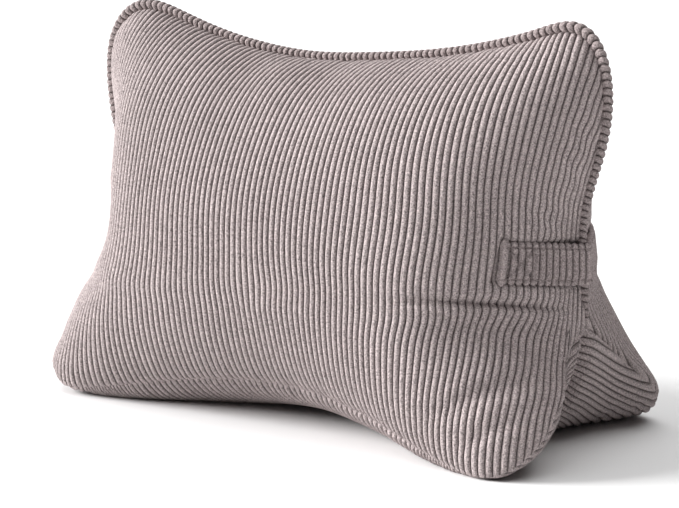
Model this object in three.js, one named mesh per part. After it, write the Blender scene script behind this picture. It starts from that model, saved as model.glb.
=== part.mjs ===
// Lumbar support pillow in wide-wale corduroy, standing on two feet.
//
// Three cloth panels (front, base and back) are joined along three long seams. They meet in one
// corner point at each end, so the filled cover has three lobes: the top one with its two horns,
// and a front and a back foot. Each panel has an upper and a lower half, which gives six leaves.
// The flat leaves are drawn from the sizes below, sewn together vertex to vertex, blown up by an
// even filling pressure and then stood on the floor, so crown, waist and horns come from the cut.
//
// Millimetres. X runs along the pillow, the front faces -Y, Z is up, the floor is Z = 0.
import * as THREE from 'three';

// ---- driving dimensions ---------------------------------------------------------------------
const WAIST_HALF_LENGTH = 278.4; // half a panel's length on the row between its two end corners

// Flat size of each lobe, from the waist row outwards: half its length, its depth in the middle,
// and at each end of the pillow its depth there and the size of its rounded corner along and
// across the pillow. The maker's cut is the same at both ends; the filling isn't quite.
const LOBES = {
  top: {
    halfLength: 254.9,
    middleDepth: 215,
    left: { endDepth: 222.5, cornerAlong: 79.3, cornerAcross: 150 },
    right: { endDepth: 212.8, cornerAlong: 45.4, cornerAcross: 144.2 },
  },
  front: {
    halfLength: 255.5,
    middleDepth: 84.4,
    left: { endDepth: 113.3, cornerAlong: 78.4, cornerAcross: 106 },
    right: { endDepth: 132.3, cornerAlong: 75, cornerAcross: 118 },
  },
  back: {
    halfLength: 248.7,
    middleDepth: 87.3,
    left: { endDepth: 142.7, cornerAlong: 79.3, cornerAcross: 76.9 },
    right: { endDepth: 142.7, cornerAlong: 79.3, cornerAcross: 76.9 },
  },
};

const FILL = 0.904; // how full the cover is, as a share of the most that it can hold
const PRESSURE = 0.0179; // push of the filling on the cloth in one step
const WEIGHT = 0.0004; // sag of the cloth in one step while it stands on the floor
const FIRST_FILLING = { steps: 300, keep: 0.97 }; // steps, and the speed kept from each to the next
const REFILLING = { steps: 120, keep: 0.93 };

const WELT_RADIUS = 3.6; // covered cord along the seam of the top lobe
const WELT_END_RADIUS = 2.2; // where it is tucked into the end corners
const WELT_TUCK_CELLS = 3; // cells of the seam over which it gets thinner
const WELT_SIDES = 10;
const CORD_STIFFNESS = 3; // passes that even out the way the cord faces
const SEAM_GAP = 0.35; // between the welt and the cover, so that the solids stay apart

const HANDLE_THICKNESS = 2.8; // strap of doubled cloth with turned-in edges
const HANDLE_GAP = 0.9; // between the strap and what it lies on
// Where the strap's two long edges lie on the flat top lobe: at its sewn end and at the seam.
const HANDLE = {
  sewnEnd: { along: 189, lower: 23.5, upper: 50 },
  seam: { lower: 30.5, upper: 57.5 },
};

const COVER_COLOUR = 0x9d8f8c;
const WELT_COLOUR = 0x988a87;
const HANDLE_COLOUR = 0x978986;

// ---- the six leaves, as grids ---------------------------------------------------------------
const COLUMNS = 48; // cells along the pillow
const ROWS = 10; // cells from the waist row to the seam
const FLAT_PASSES = 3; // a leaf's length and depth depend on each other, so they are found in turns
const FRONT_TOP = 0;
const FRONT_FOOT = 1;
const BASE_FRONT = 2;
const BASE_BACK = 3;
const BACK_FOOT = 4;
const BACK_TOP = 5;

const SPREAD = Math.cos(Math.PI / 6);
const TOP_ARM = new THREE.Vector3(0, 0, 1);
const FRONT_ARM = new THREE.Vector3(0, -SPREAD, -0.5);
const BACK_ARM = new THREE.Vector3(0, SPREAD, -0.5);
const FRONT_FACE = new THREE.Vector3(0, -SPREAD, 0.5);
const BASE_FACE = new THREE.Vector3(0, 0, -1);
const BACK_FACE = new THREE.Vector3(0, SPREAD, 0.5);

// Each leaf: the lobe that it belongs to, the way its flat cloth starts out from the waist, the
// way its panel faces, and whether its grid has to be wound the other way round to face outwards.
const LEAVES = [
  { lobe: LOBES.top, arm: TOP_ARM, face: FRONT_FACE, flipped: false },
  { lobe: LOBES.front, arm: FRONT_ARM, face: FRONT_FACE, flipped: true },
  { lobe: LOBES.front, arm: FRONT_ARM, face: BASE_FACE, flipped: false },
  { lobe: LOBES.back, arm: BACK_ARM, face: BASE_FACE, flipped: true },
  { lobe: LOBES.back, arm: BACK_ARM, face: BACK_FACE, flipped: false },
  { lobe: LOBES.top, arm: TOP_ARM, face: BACK_FACE, flipped: true },
];

// Leaves sewn together round their outer edge, and leaves that are one cloth across the waist.
const SEWN_PAIRS = [[BACK_TOP, FRONT_TOP], [BASE_FRONT, FRONT_FOOT], [BACK_FOOT, BASE_BACK]];
const PANEL_PAIRS = [[FRONT_FOOT, FRONT_TOP], [BASE_BACK, BASE_FRONT], [BACK_TOP, BACK_FOOT]];

const CELLS_PER_LEAF = (COLUMNS + 1) * (ROWS + 1);

function cellIndex(leaf, column, row) {
  return leaf * CELLS_PER_LEAF + column * (ROWS + 1) + row;
}

function forEachCell(visit) {
  for (let leaf = 0; leaf < LEAVES.length; leaf += 1) {
    for (let column = 0; column <= COLUMNS; column += 1) {
      for (let row = 0; row <= ROWS; row += 1) {
        visit(leaf, column, row, cellIndex(leaf, column, row));
      }
    }
  }
}

function clampUnit(value) {
  return Math.min(Math.max(value, 0), 1);
}

// A point of a flat leaf. The outer edge is a shallow cosine wave, the end edge leans from the
// waist to the lobe, and the corner between them is squeezed from a square into a quarter round.
function flatPoint(lobe, column, row) {
  const side = (2 * column) / COLUMNS - 1;
  const { endDepth, cornerAlong, cornerAcross } = side < 0 ? lobe.left : lobe.right;
  const depthAt = (along) => {
    const wave = (1 - Math.cos(Math.PI * clampUnit(along / lobe.halfLength))) / 2;
    return lobe.middleDepth + (endDepth - lobe.middleDepth) * wave;
  };
  const lengthAt = (across) => {
    const lean = Math.sin((Math.PI / 2) * clampUnit(across / (endDepth - cornerAcross))) ** 2;
    return WAIST_HALF_LENGTH + (lobe.halfLength - WAIST_HALF_LENGTH) * lean;
  };
  let along = Math.abs(side) * lobe.halfLength;
  let across = 0;
  for (let pass = 0; pass < FLAT_PASSES; pass += 1) {
    across = (row / ROWS) * depthAt(along);
    along = Math.abs(side) * lengthAt(across);
  }
  const cornerX = clampUnit((along - (lobe.halfLength - cornerAlong)) / cornerAlong);
  const cornerY = clampUnit((across - (depthAt(along) - cornerAcross)) / cornerAcross);
  along += cornerAlong * (cornerX * Math.sqrt(1 - (cornerY * cornerY) / 2) - cornerX);
  across += cornerAcross * (cornerY * Math.sqrt(1 - (cornerX * cornerX) / 2) - cornerY);
  return { along: along * Math.sign(side), across };
}

// The cells along a lobe's seam, from its left-hand end corner to its right-hand one.
function seamCells() {
  const cells = [];
  for (let row = 0; row < ROWS; row += 1) cells.push([0, row]);
  for (let column = 0; column <= COLUMNS; column += 1) cells.push([column, ROWS]);
  for (let row = ROWS - 1; row >= 0; row -= 1) cells.push([COLUMNS, row]);
  return cells;
}

// The vertex that each grid cell uses, with sewn and shared cells made one vertex.
function weldLeaves() {
  const owner = new Int32Array(LEAVES.length * CELLS_PER_LEAF);
  owner.forEach((_, cell) => {
    owner[cell] = cell;
  });
  const join = (leafA, leafB, column, row) => {
    owner[cellIndex(leafA, column, row)] = owner[cellIndex(leafB, column, row)];
  };
  for (const [leafA, leafB] of SEWN_PAIRS) {
    for (let column = 0; column <= COLUMNS; column += 1) join(leafA, leafB, column, ROWS);
    for (let row = 0; row <= ROWS; row += 1) {
      join(leafA, leafB, 0, row);
      join(leafA, leafB, COLUMNS, row);
    }
  }
  for (const [leafA, leafB] of PANEL_PAIRS) {
    for (let column = 1; column < COLUMNS; column += 1) join(leafA, leafB, column, 0);
  }
  for (const column of [0, COLUMNS]) {
    for (let leaf = 1; leaf < LEAVES.length; leaf += 1) join(leaf, FRONT_TOP, column, 0);
  }
  const numbers = new Map();
  owner.forEach((cell) => {
    if (!numbers.has(cell)) numbers.set(cell, numbers.size);
  });
  return owner.map((cell) => numbers.get(cell));
}

// Two faces to each cell. Their diagonals are mirrored at the middle of the pillow.
function coverFaces(vertexOf) {
  const faces = [];
  const add = (corners, flipped) => {
    if (new Set(corners).size < 3) return;
    faces.push(flipped ? corners.reverse() : corners);
  };
  LEAVES.forEach(({ flipped }, leaf) => {
    for (let column = 0; column < COLUMNS; column += 1) {
      for (let row = 0; row < ROWS; row += 1) {
        const a = vertexOf[cellIndex(leaf, column, row)];
        const b = vertexOf[cellIndex(leaf, column + 1, row)];
        const c = vertexOf[cellIndex(leaf, column + 1, row + 1)];
        const d = vertexOf[cellIndex(leaf, column, row + 1)];
        const onRight = column >= COLUMNS / 2;
        add(onRight ? [a, b, c] : [a, b, d], flipped);
        add(onRight ? [a, c, d] : [b, c, d], flipped);
      }
    }
  });
  return faces;
}

// ---- the cloth: threads that keep their flat length, and a filling that pushes outwards -------
// Each family of threads joins cells that are so many columns and rows apart. The last two are the
// welt's cord, which lies in the top lobe's seam only and keeps it from kinking.
const TOP_LEAVES = [FRONT_TOP, BACK_TOP];
const THREADS = [
  { columns: 1, rows: 0, stiffness: 1 },
  { columns: 0, rows: 1, stiffness: 1 },
  { columns: 1, rows: 1, stiffness: 0.3 },
  { columns: 1, rows: -1, stiffness: 0.3 },
  { columns: 2, rows: 0, stiffness: 0.05 },
  { columns: 0, rows: 2, stiffness: 0.05 },
  { columns: 2, rows: 0, stiffness: 0.5, cord: true },
  { columns: 3, rows: 0, stiffness: 0.5, cord: true },
];
const THREAD_PASSES = 2;
const THREAD_HASTE = 1.6; // how far past its even share a thread pulls its ends
const LEAST_CLOTH = 0.2; // the least cloth that hangs on a vertex, as a share of the mean
const FILL_EAGERNESS = 20; // how soon the filling pushes with all its strength when some is lacking
const FLOOR_SLIP = 0.3; // share of its sideways move that cloth keeps where it touches the floor
const FIRST_BULGE = 18; // gap between the two leaves of a lobe at the start
const FOOT_LEAVES = [[FRONT_FOOT, BASE_FRONT], [BASE_BACK, BACK_FOOT]];
const TIP_ROW = 7; // the foot's tip lies between this row and its seam
const LEVEL_TURNS = 5;
const LIFTS = 12;
const STEPS_PER_LIFT = 5;
const STEPS_STANDING = 80;
const STANDING_KEEP = 0.93;
const SEAM_PASSES = 20; // the welt's cord evens out the middle of the top seam
const SEAM_COLUMNS = 8; // columns over which that fades in, half of them on from each horn
const SEAM_ROWS = 5; // rows of cloth below the seam that move with it
const SMOOTH_PASSES = 14; // each pass smooths by the first share and swells by the second
const SMOOTH_SHARES = [0.5, -0.53];
const FLOOR_REACH = 0.5; // cloth lower than this lies flat on the floor
const X_AXIS = new THREE.Vector3(1, 0, 0);
const Y_AXIS = new THREE.Vector3(0, 1, 0);

class Cover {
  constructor() {
    this.vertexOf = weldLeaves();
    this.vertexCount = Math.max(...this.vertexOf) + 1;
    this.faces = coverFaces(this.vertexOf);
    this.flat = [];
    forEachCell((leaf, column, row, cell) => {
      this.flat[cell] = flatPoint(LEAVES[leaf].lobe, column, row);
    });
    this.position = this.layOutFlat();
    this.velocity = new Float64Array(this.position.length);
    this.threads = this.makeThreads();
    this.share = this.clothShares();
  }

  // Starts as a flat star of three arms, each of two leaves with a slight gap between them that
  // closes towards the seam and towards both ends.
  layOutFlat() {
    const position = new Float64Array(this.vertexCount * 3);
    const count = new Float64Array(this.vertexCount);
    const columnDepth = new Float64Array(LEAVES.length * (COLUMNS + 1));
    const leafDepth = new Float64Array(LEAVES.length);
    const leafLength = new Float64Array(LEAVES.length);
    forEachCell((leaf, column, row, cell) => {
      const { along, across } = this.flat[cell];
      const strip = leaf * (COLUMNS + 1) + column;
      columnDepth[strip] = Math.max(columnDepth[strip], across);
      leafDepth[leaf] = Math.max(leafDepth[leaf], across);
      leafLength[leaf] = Math.max(leafLength[leaf], along);
    });
    forEachCell((leaf, column, row, cell) => {
      const { along, across } = this.flat[cell];
      const { arm, face } = LEAVES[leaf];
      const toSeam = (columnDepth[leaf * (COLUMNS + 1) + column] - across) / leafDepth[leaf];
      const bulge = FIRST_BULGE * clampUnit(1 - (along / leafLength[leaf]) ** 2) * clampUnit(toSeam);
      const vertex = this.vertexOf[cell];
      position[3 * vertex] += along;
      position[3 * vertex + 1] += across * arm.y + bulge * face.y;
      position[3 * vertex + 2] += across * arm.z + bulge * face.z;
      count[vertex] += 1;
    });
    return position.map((value, index) => value / count[Math.floor(index / 3)]);
  }

  makeThreads() {
    const threads = [];
    this.pull = new Float64Array(this.vertexCount);
    for (const { columns, rows, stiffness, cord } of THREADS) {
      forEachCell((leaf, column, row, cell) => {
        const inside = column + columns <= COLUMNS && row + rows >= 0 && row + rows <= ROWS;
        const onCord = row === ROWS && TOP_LEAVES.includes(leaf);
        if (!inside || (cord && !onCord)) return;
        const other = cellIndex(leaf, column + columns, row + rows);
        const dx = this.flat[cell].along - this.flat[other].along;
        const dy = this.flat[cell].across - this.flat[other].across;
        const length = Math.hypot(dx, dy);
        if (length < 1e-6) return;
        const a = this.vertexOf[cell];
        const b = this.vertexOf[other];
        this.pull[a] += 1;
        this.pull[b] += 1;
        threads.push({ a, b, length, stiffness });
      });
    }
    return threads;
  }

  clothShares() {
    const share = new Float64Array(this.vertexCount);
    const p = this.position;
    for (const [a, b, c] of this.faces) {
      const area = faceVector(p, a, b, c).length() / 2;
      share[a] += area / 3;
      share[b] += area / 3;
      share[c] += area / 3;
    }
    const mean = share.reduce((sum, value) => sum + value, 0) / share.length;
    return share.map((value) => Math.max(value, mean * LEAST_CLOTH));
  }

  volume() {
    const p = this.position;
    let sum = 0;
    for (const [a, b, c] of this.faces) {
      const cross = faceVector(p, a, b, c);
      sum += p[3 * a] * cross.x + p[3 * a + 1] * cross.y + p[3 * a + 2] * cross.z;
    }
    return sum / 6;
  }

  // Moves the cloth for a number of steps, with or without a target volume and a floor.
  settle({ steps, keep, volume = null, weight = 0, floor = null }) {
    const p = this.position;
    const v = this.velocity;
    const push = new Float64Array(p.length);
    const shift = new Float64Array(p.length);
    const before = new Float64Array(p.length);
    for (let step = 0; step < steps; step += 1) {
      let pressure = PRESSURE;
      if (volume !== null) {
        const lack = ((volume - this.volume()) / volume) * FILL_EAGERNESS;
        pressure = PRESSURE * Math.min(Math.max(lack, -1), 1);
      }
      push.fill(0);
      for (const [a, b, c] of this.faces) {
        const cross = faceVector(p, a, b, c).multiplyScalar(pressure / 6);
        for (const vertex of [a, b, c]) {
          push[3 * vertex] += cross.x;
          push[3 * vertex + 1] += cross.y;
          push[3 * vertex + 2] += cross.z;
        }
      }
      before.set(p);
      for (let index = 0; index < p.length; index += 1) {
        const vertex = Math.floor(index / 3);
        const sag = index % 3 === 2 ? weight : 0;
        v[index] = (v[index] + push[index] / this.share[vertex] - sag) * keep;
        p[index] += v[index];
      }
      for (let pass = 0; pass < THREAD_PASSES; pass += 1) this.pullThreads(shift);
      if (floor !== null) this.standOn(floor, before);
      for (let index = 0; index < p.length; index += 1) v[index] = p[index] - before[index];
    }
  }

  pullThreads(shift) {
    const p = this.position;
    shift.fill(0);
    for (const { a, b, length, stiffness } of this.threads) {
      const dx = p[3 * b] - p[3 * a];
      const dy = p[3 * b + 1] - p[3 * a + 1];
      const dz = p[3 * b + 2] - p[3 * a + 2];
      const now = Math.sqrt(dx * dx + dy * dy + dz * dz) + 1e-9;
      const give = (0.5 * stiffness * (now - length)) / now;
      shift[3 * a] += give * dx;
      shift[3 * a + 1] += give * dy;
      shift[3 * a + 2] += give * dz;
      shift[3 * b] -= give * dx;
      shift[3 * b + 1] -= give * dy;
      shift[3 * b + 2] -= give * dz;
    }
    for (let index = 0; index < p.length; index += 1) {
      p[index] += (shift[index] / this.pull[Math.floor(index / 3)]) * THREAD_HASTE;
    }
  }

  standOn(floor, before) {
    const p = this.position;
    for (let vertex = 0; vertex < this.vertexCount; vertex += 1) {
      if (p[3 * vertex + 2] < floor) {
        p[3 * vertex + 2] = floor;
        for (const axis of [0, 1]) {
          const index = 3 * vertex + axis;
          p[index] = before[index] + (p[index] - before[index]) * FLOOR_SLIP;
        }
      }
    }
  }

  // The lowest point near the seam of the front and of the back foot, at both ends of the pillow.
  footTips() {
    return FOOT_LEAVES.map((leaves) => [-1, 1].map((side) => {
      let tip = null;
      forEachCell((leaf, column, row) => {
        const onSide = Math.sign(column - COLUMNS / 2) === side;
        if (!leaves.includes(leaf) || !onSide || row < TIP_ROW) return;
        const point = this.cellPosition(leaf, column, row);
        if (!tip || point.z < tip.z) tip = point;
      });
      return tip;
    }));
  }

  turn(axis, angle) {
    const point = new THREE.Vector3();
    for (let index = 0; index < this.position.length; index += 3) {
      point.fromArray(this.position, index).applyAxisAngle(axis, angle).toArray(this.position, index);
    }
  }

  // Turns the cover about X and then about Y until its foot tips are level.
  levelFeet() {
    for (let turn = 0; turn < LEVEL_TURNS; turn += 1) {
      const [front, back] = this.footTips().map(([left, right]) => left.add(right));
      this.turn(X_AXIS, -Math.atan2(back.z - front.z, back.y - front.y));
      const [[frontLeft, frontRight], [backLeft, backRight]] = this.footTips();
      const left = frontLeft.add(backLeft);
      const right = frontRight.add(backRight);
      this.turn(Y_AXIS, Math.atan2(right.z - left.z, right.x - left.x));
    }
    this.velocity.fill(0);
  }

  // Lets the belly between the feet down on the floor, until the floor is at the foot tips.
  standUp({ volume, weight }) {
    this.levelFeet();
    const bellyHeight = this.extent(2)[0];
    const tipHeight = this.footTips().flat().reduce((sum, tip) => sum + tip.z / 4, 0);
    for (let lift = 1; lift <= LIFTS; lift += 1) {
      const floor = bellyHeight + ((tipHeight - bellyHeight) * lift) / LIFTS;
      this.settle({ steps: STEPS_PER_LIFT, keep: STANDING_KEEP, volume, weight, floor });
    }
    this.settle({ steps: STEPS_STANDING, keep: STANDING_KEEP, volume, weight, floor: tipHeight });
  }

  // Moves the top seam towards its own running mean, and the cloth on both its sides with it.
  evenTopSeam() {
    const start = [];
    for (let column = 0; column <= COLUMNS; column += 1) {
      start.push(this.cellPosition(FRONT_TOP, column, ROWS));
    }
    let line = start;
    for (let pass = 0; pass < SEAM_PASSES; pass += 1) {
      line = line.map((point, column) => {
        const toHorn = Math.min(column, COLUMNS - column);
        const share = clampUnit(toHorn / SEAM_COLUMNS - 0.5);
        if (share === 0) return point;
        const mean = line[column - 1].clone().add(line[column + 1]).divideScalar(2);
        return point.clone().lerp(mean, share / 2);
      });
    }
    for (let row = 0; row < SEAM_ROWS; row += 1) {
      for (const leaf of row === 0 ? [FRONT_TOP] : TOP_LEAVES) {
        line.forEach((point, column) => {
          const moved = this.cellPosition(leaf, column, ROWS - row);
          moved.addScaledVector(point.clone().sub(start[column]), 1 - row / SEAM_ROWS);
          moved.toArray(this.position, 3 * this.vertexOf[cellIndex(leaf, column, ROWS - row)]);
        });
      }
    }
  }

  // The vertices round each vertex. On a seam these are its two neighbours along the seam, and the
  // two end corners have none.
  neighbours() {
    const around = Array.from({ length: this.vertexCount }, () => new Set());
    for (const [a, b, c] of this.faces) {
      around[a].add(b).add(c);
      around[b].add(a).add(c);
      around[c].add(a).add(b);
    }
    for (const [, leaf] of SEWN_PAIRS) {
      const line = seamCells().map(([column, row]) => this.vertexOf[cellIndex(leaf, column, row)]);
      line.forEach((vertex, index) => {
        const inside = index > 0 && index < line.length - 1;
        around[vertex] = new Set(inside ? [line[index - 1], line[index + 1]] : []);
      });
    }
    return around.map((set) => [...set]);
  }

  // Takes the small kinks out of the cloth. What lies on the floor stays on it.
  smooth() {
    const p = this.position;
    const around = this.neighbours();
    const lying = around.map((_, vertex) => p[3 * vertex + 2] < FLOOR_REACH);
    for (let pass = 0; pass < SMOOTH_PASSES; pass += 1) {
      for (const share of SMOOTH_SHARES) {
        const before = p.slice();
        around.forEach((near, vertex) => {
          if (near.length === 0) return;
          for (const axis of [0, 1, 2]) {
            const mean = near.reduce((sum, other) => sum + before[3 * other + axis], 0) / near.length;
            p[3 * vertex + axis] += (mean - before[3 * vertex + axis]) * share;
          }
        });
      }
    }
    lying.forEach((flat, vertex) => {
      p[3 * vertex + 2] = flat ? 0 : Math.max(p[3 * vertex + 2], 0);
    });
  }

  extent(axis) {
    let low = Infinity;
    let high = -Infinity;
    for (let index = axis; index < this.position.length; index += 3) {
      low = Math.min(low, this.position[index]);
      high = Math.max(high, this.position[index]);
    }
    return [low, high];
  }

  // Puts the floor at Z = 0 and the middle of the cover over the origin.
  centre() {
    const offset = [0, 1, 2].map((axis) => {
      const [low, high] = this.extent(axis);
      return axis === 2 ? low : (low + high) / 2;
    });
    this.position.forEach((value, index) => {
      this.position[index] = value - offset[index % 3];
    });
  }

  cellPosition(leaf, column, row) {
    const vertex = this.vertexOf[cellIndex(leaf, column, row)];
    return new THREE.Vector3().fromArray(this.position, 3 * vertex);
  }

  normals() {
    const normals = Array.from({ length: this.vertexCount }, () => new THREE.Vector3());
    for (const [a, b, c] of this.faces) {
      const cross = faceVector(this.position, a, b, c);
      normals[a].add(cross);
      normals[b].add(cross);
      normals[c].add(cross);
    }
    return normals.map((normal) => normal.normalize());
  }
}

// Twice a face's area, along its normal.
const edgeAB = new THREE.Vector3();
const edgeAC = new THREE.Vector3();
function faceVector(p, a, b, c) {
  edgeAB.set(p[3 * b] - p[3 * a], p[3 * b + 1] - p[3 * a + 1], p[3 * b + 2] - p[3 * a + 2]);
  edgeAC.set(p[3 * c] - p[3 * a], p[3 * c + 1] - p[3 * a + 1], p[3 * c + 2] - p[3 * a + 2]);
  return new THREE.Vector3().crossVectors(edgeAB, edgeAC);
}

function makeCover() {
  const cover = new Cover();
  cover.settle(FIRST_FILLING);
  const volume = cover.volume() * FILL;
  cover.settle({ ...REFILLING, volume });
  cover.standUp({ volume, weight: WEIGHT });
  cover.centre();
  cover.evenTopSeam();
  cover.smooth();
  cover.centre();
  return cover;
}

function meshGeometry(points, faces) {
  const geometry = new THREE.BufferGeometry();
  geometry.setAttribute('position', new THREE.Float32BufferAttribute(points, 3));
  geometry.setIndex(faces.flat());
  geometry.computeVertexNormals();
  return geometry;
}

// ---- welt: a covered cord round the seam of the top lobe ------------------------------------
// The seam's line from one end corner, round both horns, to the other end corner. The cord is
// stiffer than the cloth, so it rounds off the small kinks of the seam.
function topSeam(cover) {
  const cells = seamCells().slice(1, -1);
  const normals = cover.normals();
  let line = cells.map(([column, row]) => ({
    point: cover.cellPosition(FRONT_TOP, column, row),
    outward: normals[cover.vertexOf[cellIndex(FRONT_TOP, column, row)]].clone(),
  }));
  for (let pass = 0; pass < CORD_STIFFNESS; pass += 1) {
    line = line.map((spot, index) => {
      const before = line[Math.max(index - 1, 0)];
      const after = line[Math.min(index + 1, line.length - 1)];
      const middle = before.outward.clone().add(after.outward);
      const outward = spot.outward.clone().multiplyScalar(2).add(middle).normalize();
      return { point: spot.point, outward };
    });
  }
  return line;
}

function weltGeometry(cover) {
  const seam = topSeam(cover);
  const last = seam.length - 1;
  const points = [];
  seam.forEach(({ point, outward }, index) => {
    const tuck = clampUnit(Math.min(index, last - index) / WELT_TUCK_CELLS);
    const radius = WELT_END_RADIUS + (WELT_RADIUS - WELT_END_RADIUS) * tuck;
    const before = seam[Math.max(index - 1, 0)].point;
    const tangent = seam[Math.min(index + 1, last)].point.clone().sub(before);
    const sideways = new THREE.Vector3().crossVectors(tangent, outward).normalize();
    const up = new THREE.Vector3().crossVectors(sideways, tangent).normalize();
    const centre = point.clone().addScaledVector(up, radius + SEAM_GAP);
    for (let side = 0; side < WELT_SIDES; side += 1) {
      const angle = (2 * Math.PI * side) / WELT_SIDES;
      const spoke = centre.clone().addScaledVector(up, radius * Math.cos(angle));
      spoke.addScaledVector(sideways, radius * Math.sin(angle));
      points.push(...spoke.toArray());
    }
  });
  return meshGeometry(points, tubeFaces(seam.length, WELT_SIDES));
}

// Faces of a closed tube whose rings follow each other, with a flat cap at each end.
function tubeFaces(rings, sides) {
  const faces = [];
  for (let ring = 0; ring < rings - 1; ring += 1) {
    for (let side = 0; side < sides; side += 1) {
      const a = ring * sides + side;
      const b = ring * sides + ((side + 1) % sides);
      faces.push([a, b, b + sides], [a, b + sides, a + sides]);
    }
  }
  const end = (rings - 1) * sides;
  for (let side = 1; side < sides - 1; side += 1) {
    faces.push([0, side + 1, side], [end, end + side, end + side + 1]);
  }
  return faces;
}

// ---- handle: a strap sewn to the front, laid round the welt and sewn to the back ------------
const HANDLE_LANES = 6; // lanes across the strap's width
const HANDLE_STEPS = 34; // steps along the strap
const SAMPLE_STEP = 3; // spacing of the points that feel out the cover under the strap
const WELT_TOUCH_STEP = 15; // degrees between the points that feel out the welt under the strap

// The cover's surface and its normal at a point of a leaf's flat cloth.
function surfaceAt(cover, normals, leaf, along, across) {
  let best = null;
  for (let column = COLUMNS / 2; column < COLUMNS; column += 1) {
    for (let row = 0; row < ROWS; row += 1) {
      const corners = [[0, 0], [1, 0], [1, 1], [0, 1]].map(([dc, dr]) => [column + dc, row + dr]);
      for (const triple of [[0, 1, 2], [0, 2, 3]]) {
        const cells = triple.map((corner) => cellIndex(leaf, ...corners[corner]));
        const weights = barycentric(cells.map((cell) => cover.flat[cell]), along, across);
        const worst = weights ? Math.min(...weights) : -Infinity;
        if (weights && (!best || worst > best.worst)) best = { worst, weights, cells };
      }
    }
  }
  const point = new THREE.Vector3();
  const normal = new THREE.Vector3();
  best.cells.forEach((cell, corner) => {
    const vertex = cover.vertexOf[cell];
    const place = new THREE.Vector3().fromArray(cover.position, 3 * vertex);
    point.addScaledVector(place, best.weights[corner]);
    normal.addScaledVector(normals[vertex], best.weights[corner]);
  });
  return { point, normal: normal.normalize() };
}

// The weights of a flat triangle's corners at a point, or null when the triangle has no area.
function barycentric([a, b, c], along, across) {
  const ab = [b.along - a.along, b.across - a.across];
  const ac = [c.along - a.along, c.across - a.across];
  const ap = [along - a.along, across - a.across];
  const area = ab[0] * ac[1] - ac[0] * ab[1];
  if (Math.abs(area) < 1e-9) return null;
  const toB = (ap[0] * ac[1] - ac[0] * ap[1]) / area;
  const toC = (ab[0] * ap[1] - ap[0] * ab[1]) / area;
  return [1 - toB - toC, toB, toC];
}

// The seam's point at a depth from the waist on the right-hand end, between two of its vertices.
function endSeamAt(cover, normals, across) {
  for (let row = 0; row < ROWS; row += 1) {
    const near = cellIndex(FRONT_TOP, COLUMNS, row);
    const far = cellIndex(FRONT_TOP, COLUMNS, row + 1);
    const [nearFlat, farFlat] = [cover.flat[near], cover.flat[far]];
    const share = (across - nearFlat.across) / (farFlat.across - nearFlat.across);
    if (share >= 0 && share <= 1) {
      const from = cover.cellPosition(FRONT_TOP, COLUMNS, row);
      const to = cover.cellPosition(FRONT_TOP, COLUMNS, row + 1);
      const point = from.clone().lerp(to, share);
      const outward = normals[cover.vertexOf[near]].clone().lerp(normals[cover.vertexOf[far]], share);
      const along = nearFlat.along + (farFlat.along - nearFlat.along) * share;
      return { point, tangent: to.sub(from).normalize(), outward, along };
    }
  }
  return null;
}

// The upper side of the outline round a set of points in a plane, from left to right.
function tautLine(points) {
  const sorted = [...points].sort((a, b) => a.x - b.x);
  const line = [];
  for (const point of sorted) {
    while (line.length > 1) {
      const [before, last] = line.slice(-2);
      const rise = (last.x - before.x) * (point.y - before.y);
      if (rise < (last.y - before.y) * (point.x - before.x)) break;
      line.pop();
    }
    line.push(point);
  }
  return line;
}

// Points spaced evenly along a line of { x, y, z } points.
function spaceEvenly(line, steps) {
  const lengths = [0];
  for (let index = 1; index < line.length; index += 1) {
    const step = Math.hypot(line[index].x - line[index - 1].x, line[index].y - line[index - 1].y);
    lengths.push(lengths[index - 1] + step);
  }
  const total = lengths[lengths.length - 1];
  const spaced = [];
  let segment = 1;
  for (let step = 0; step <= steps; step += 1) {
    const wanted = (total * step) / steps;
    while (segment < line.length - 1 && lengths[segment] < wanted) segment += 1;
    const share = (wanted - lengths[segment - 1]) / (lengths[segment] - lengths[segment - 1]);
    const from = line[segment - 1];
    const to = line[segment];
    spaced.push({
      x: from.x + (to.x - from.x) * share,
      y: from.y + (to.y - from.y) * share,
      z: from.z + (to.z - from.z) * share,
    });
  }
  return spaced;
}

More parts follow.
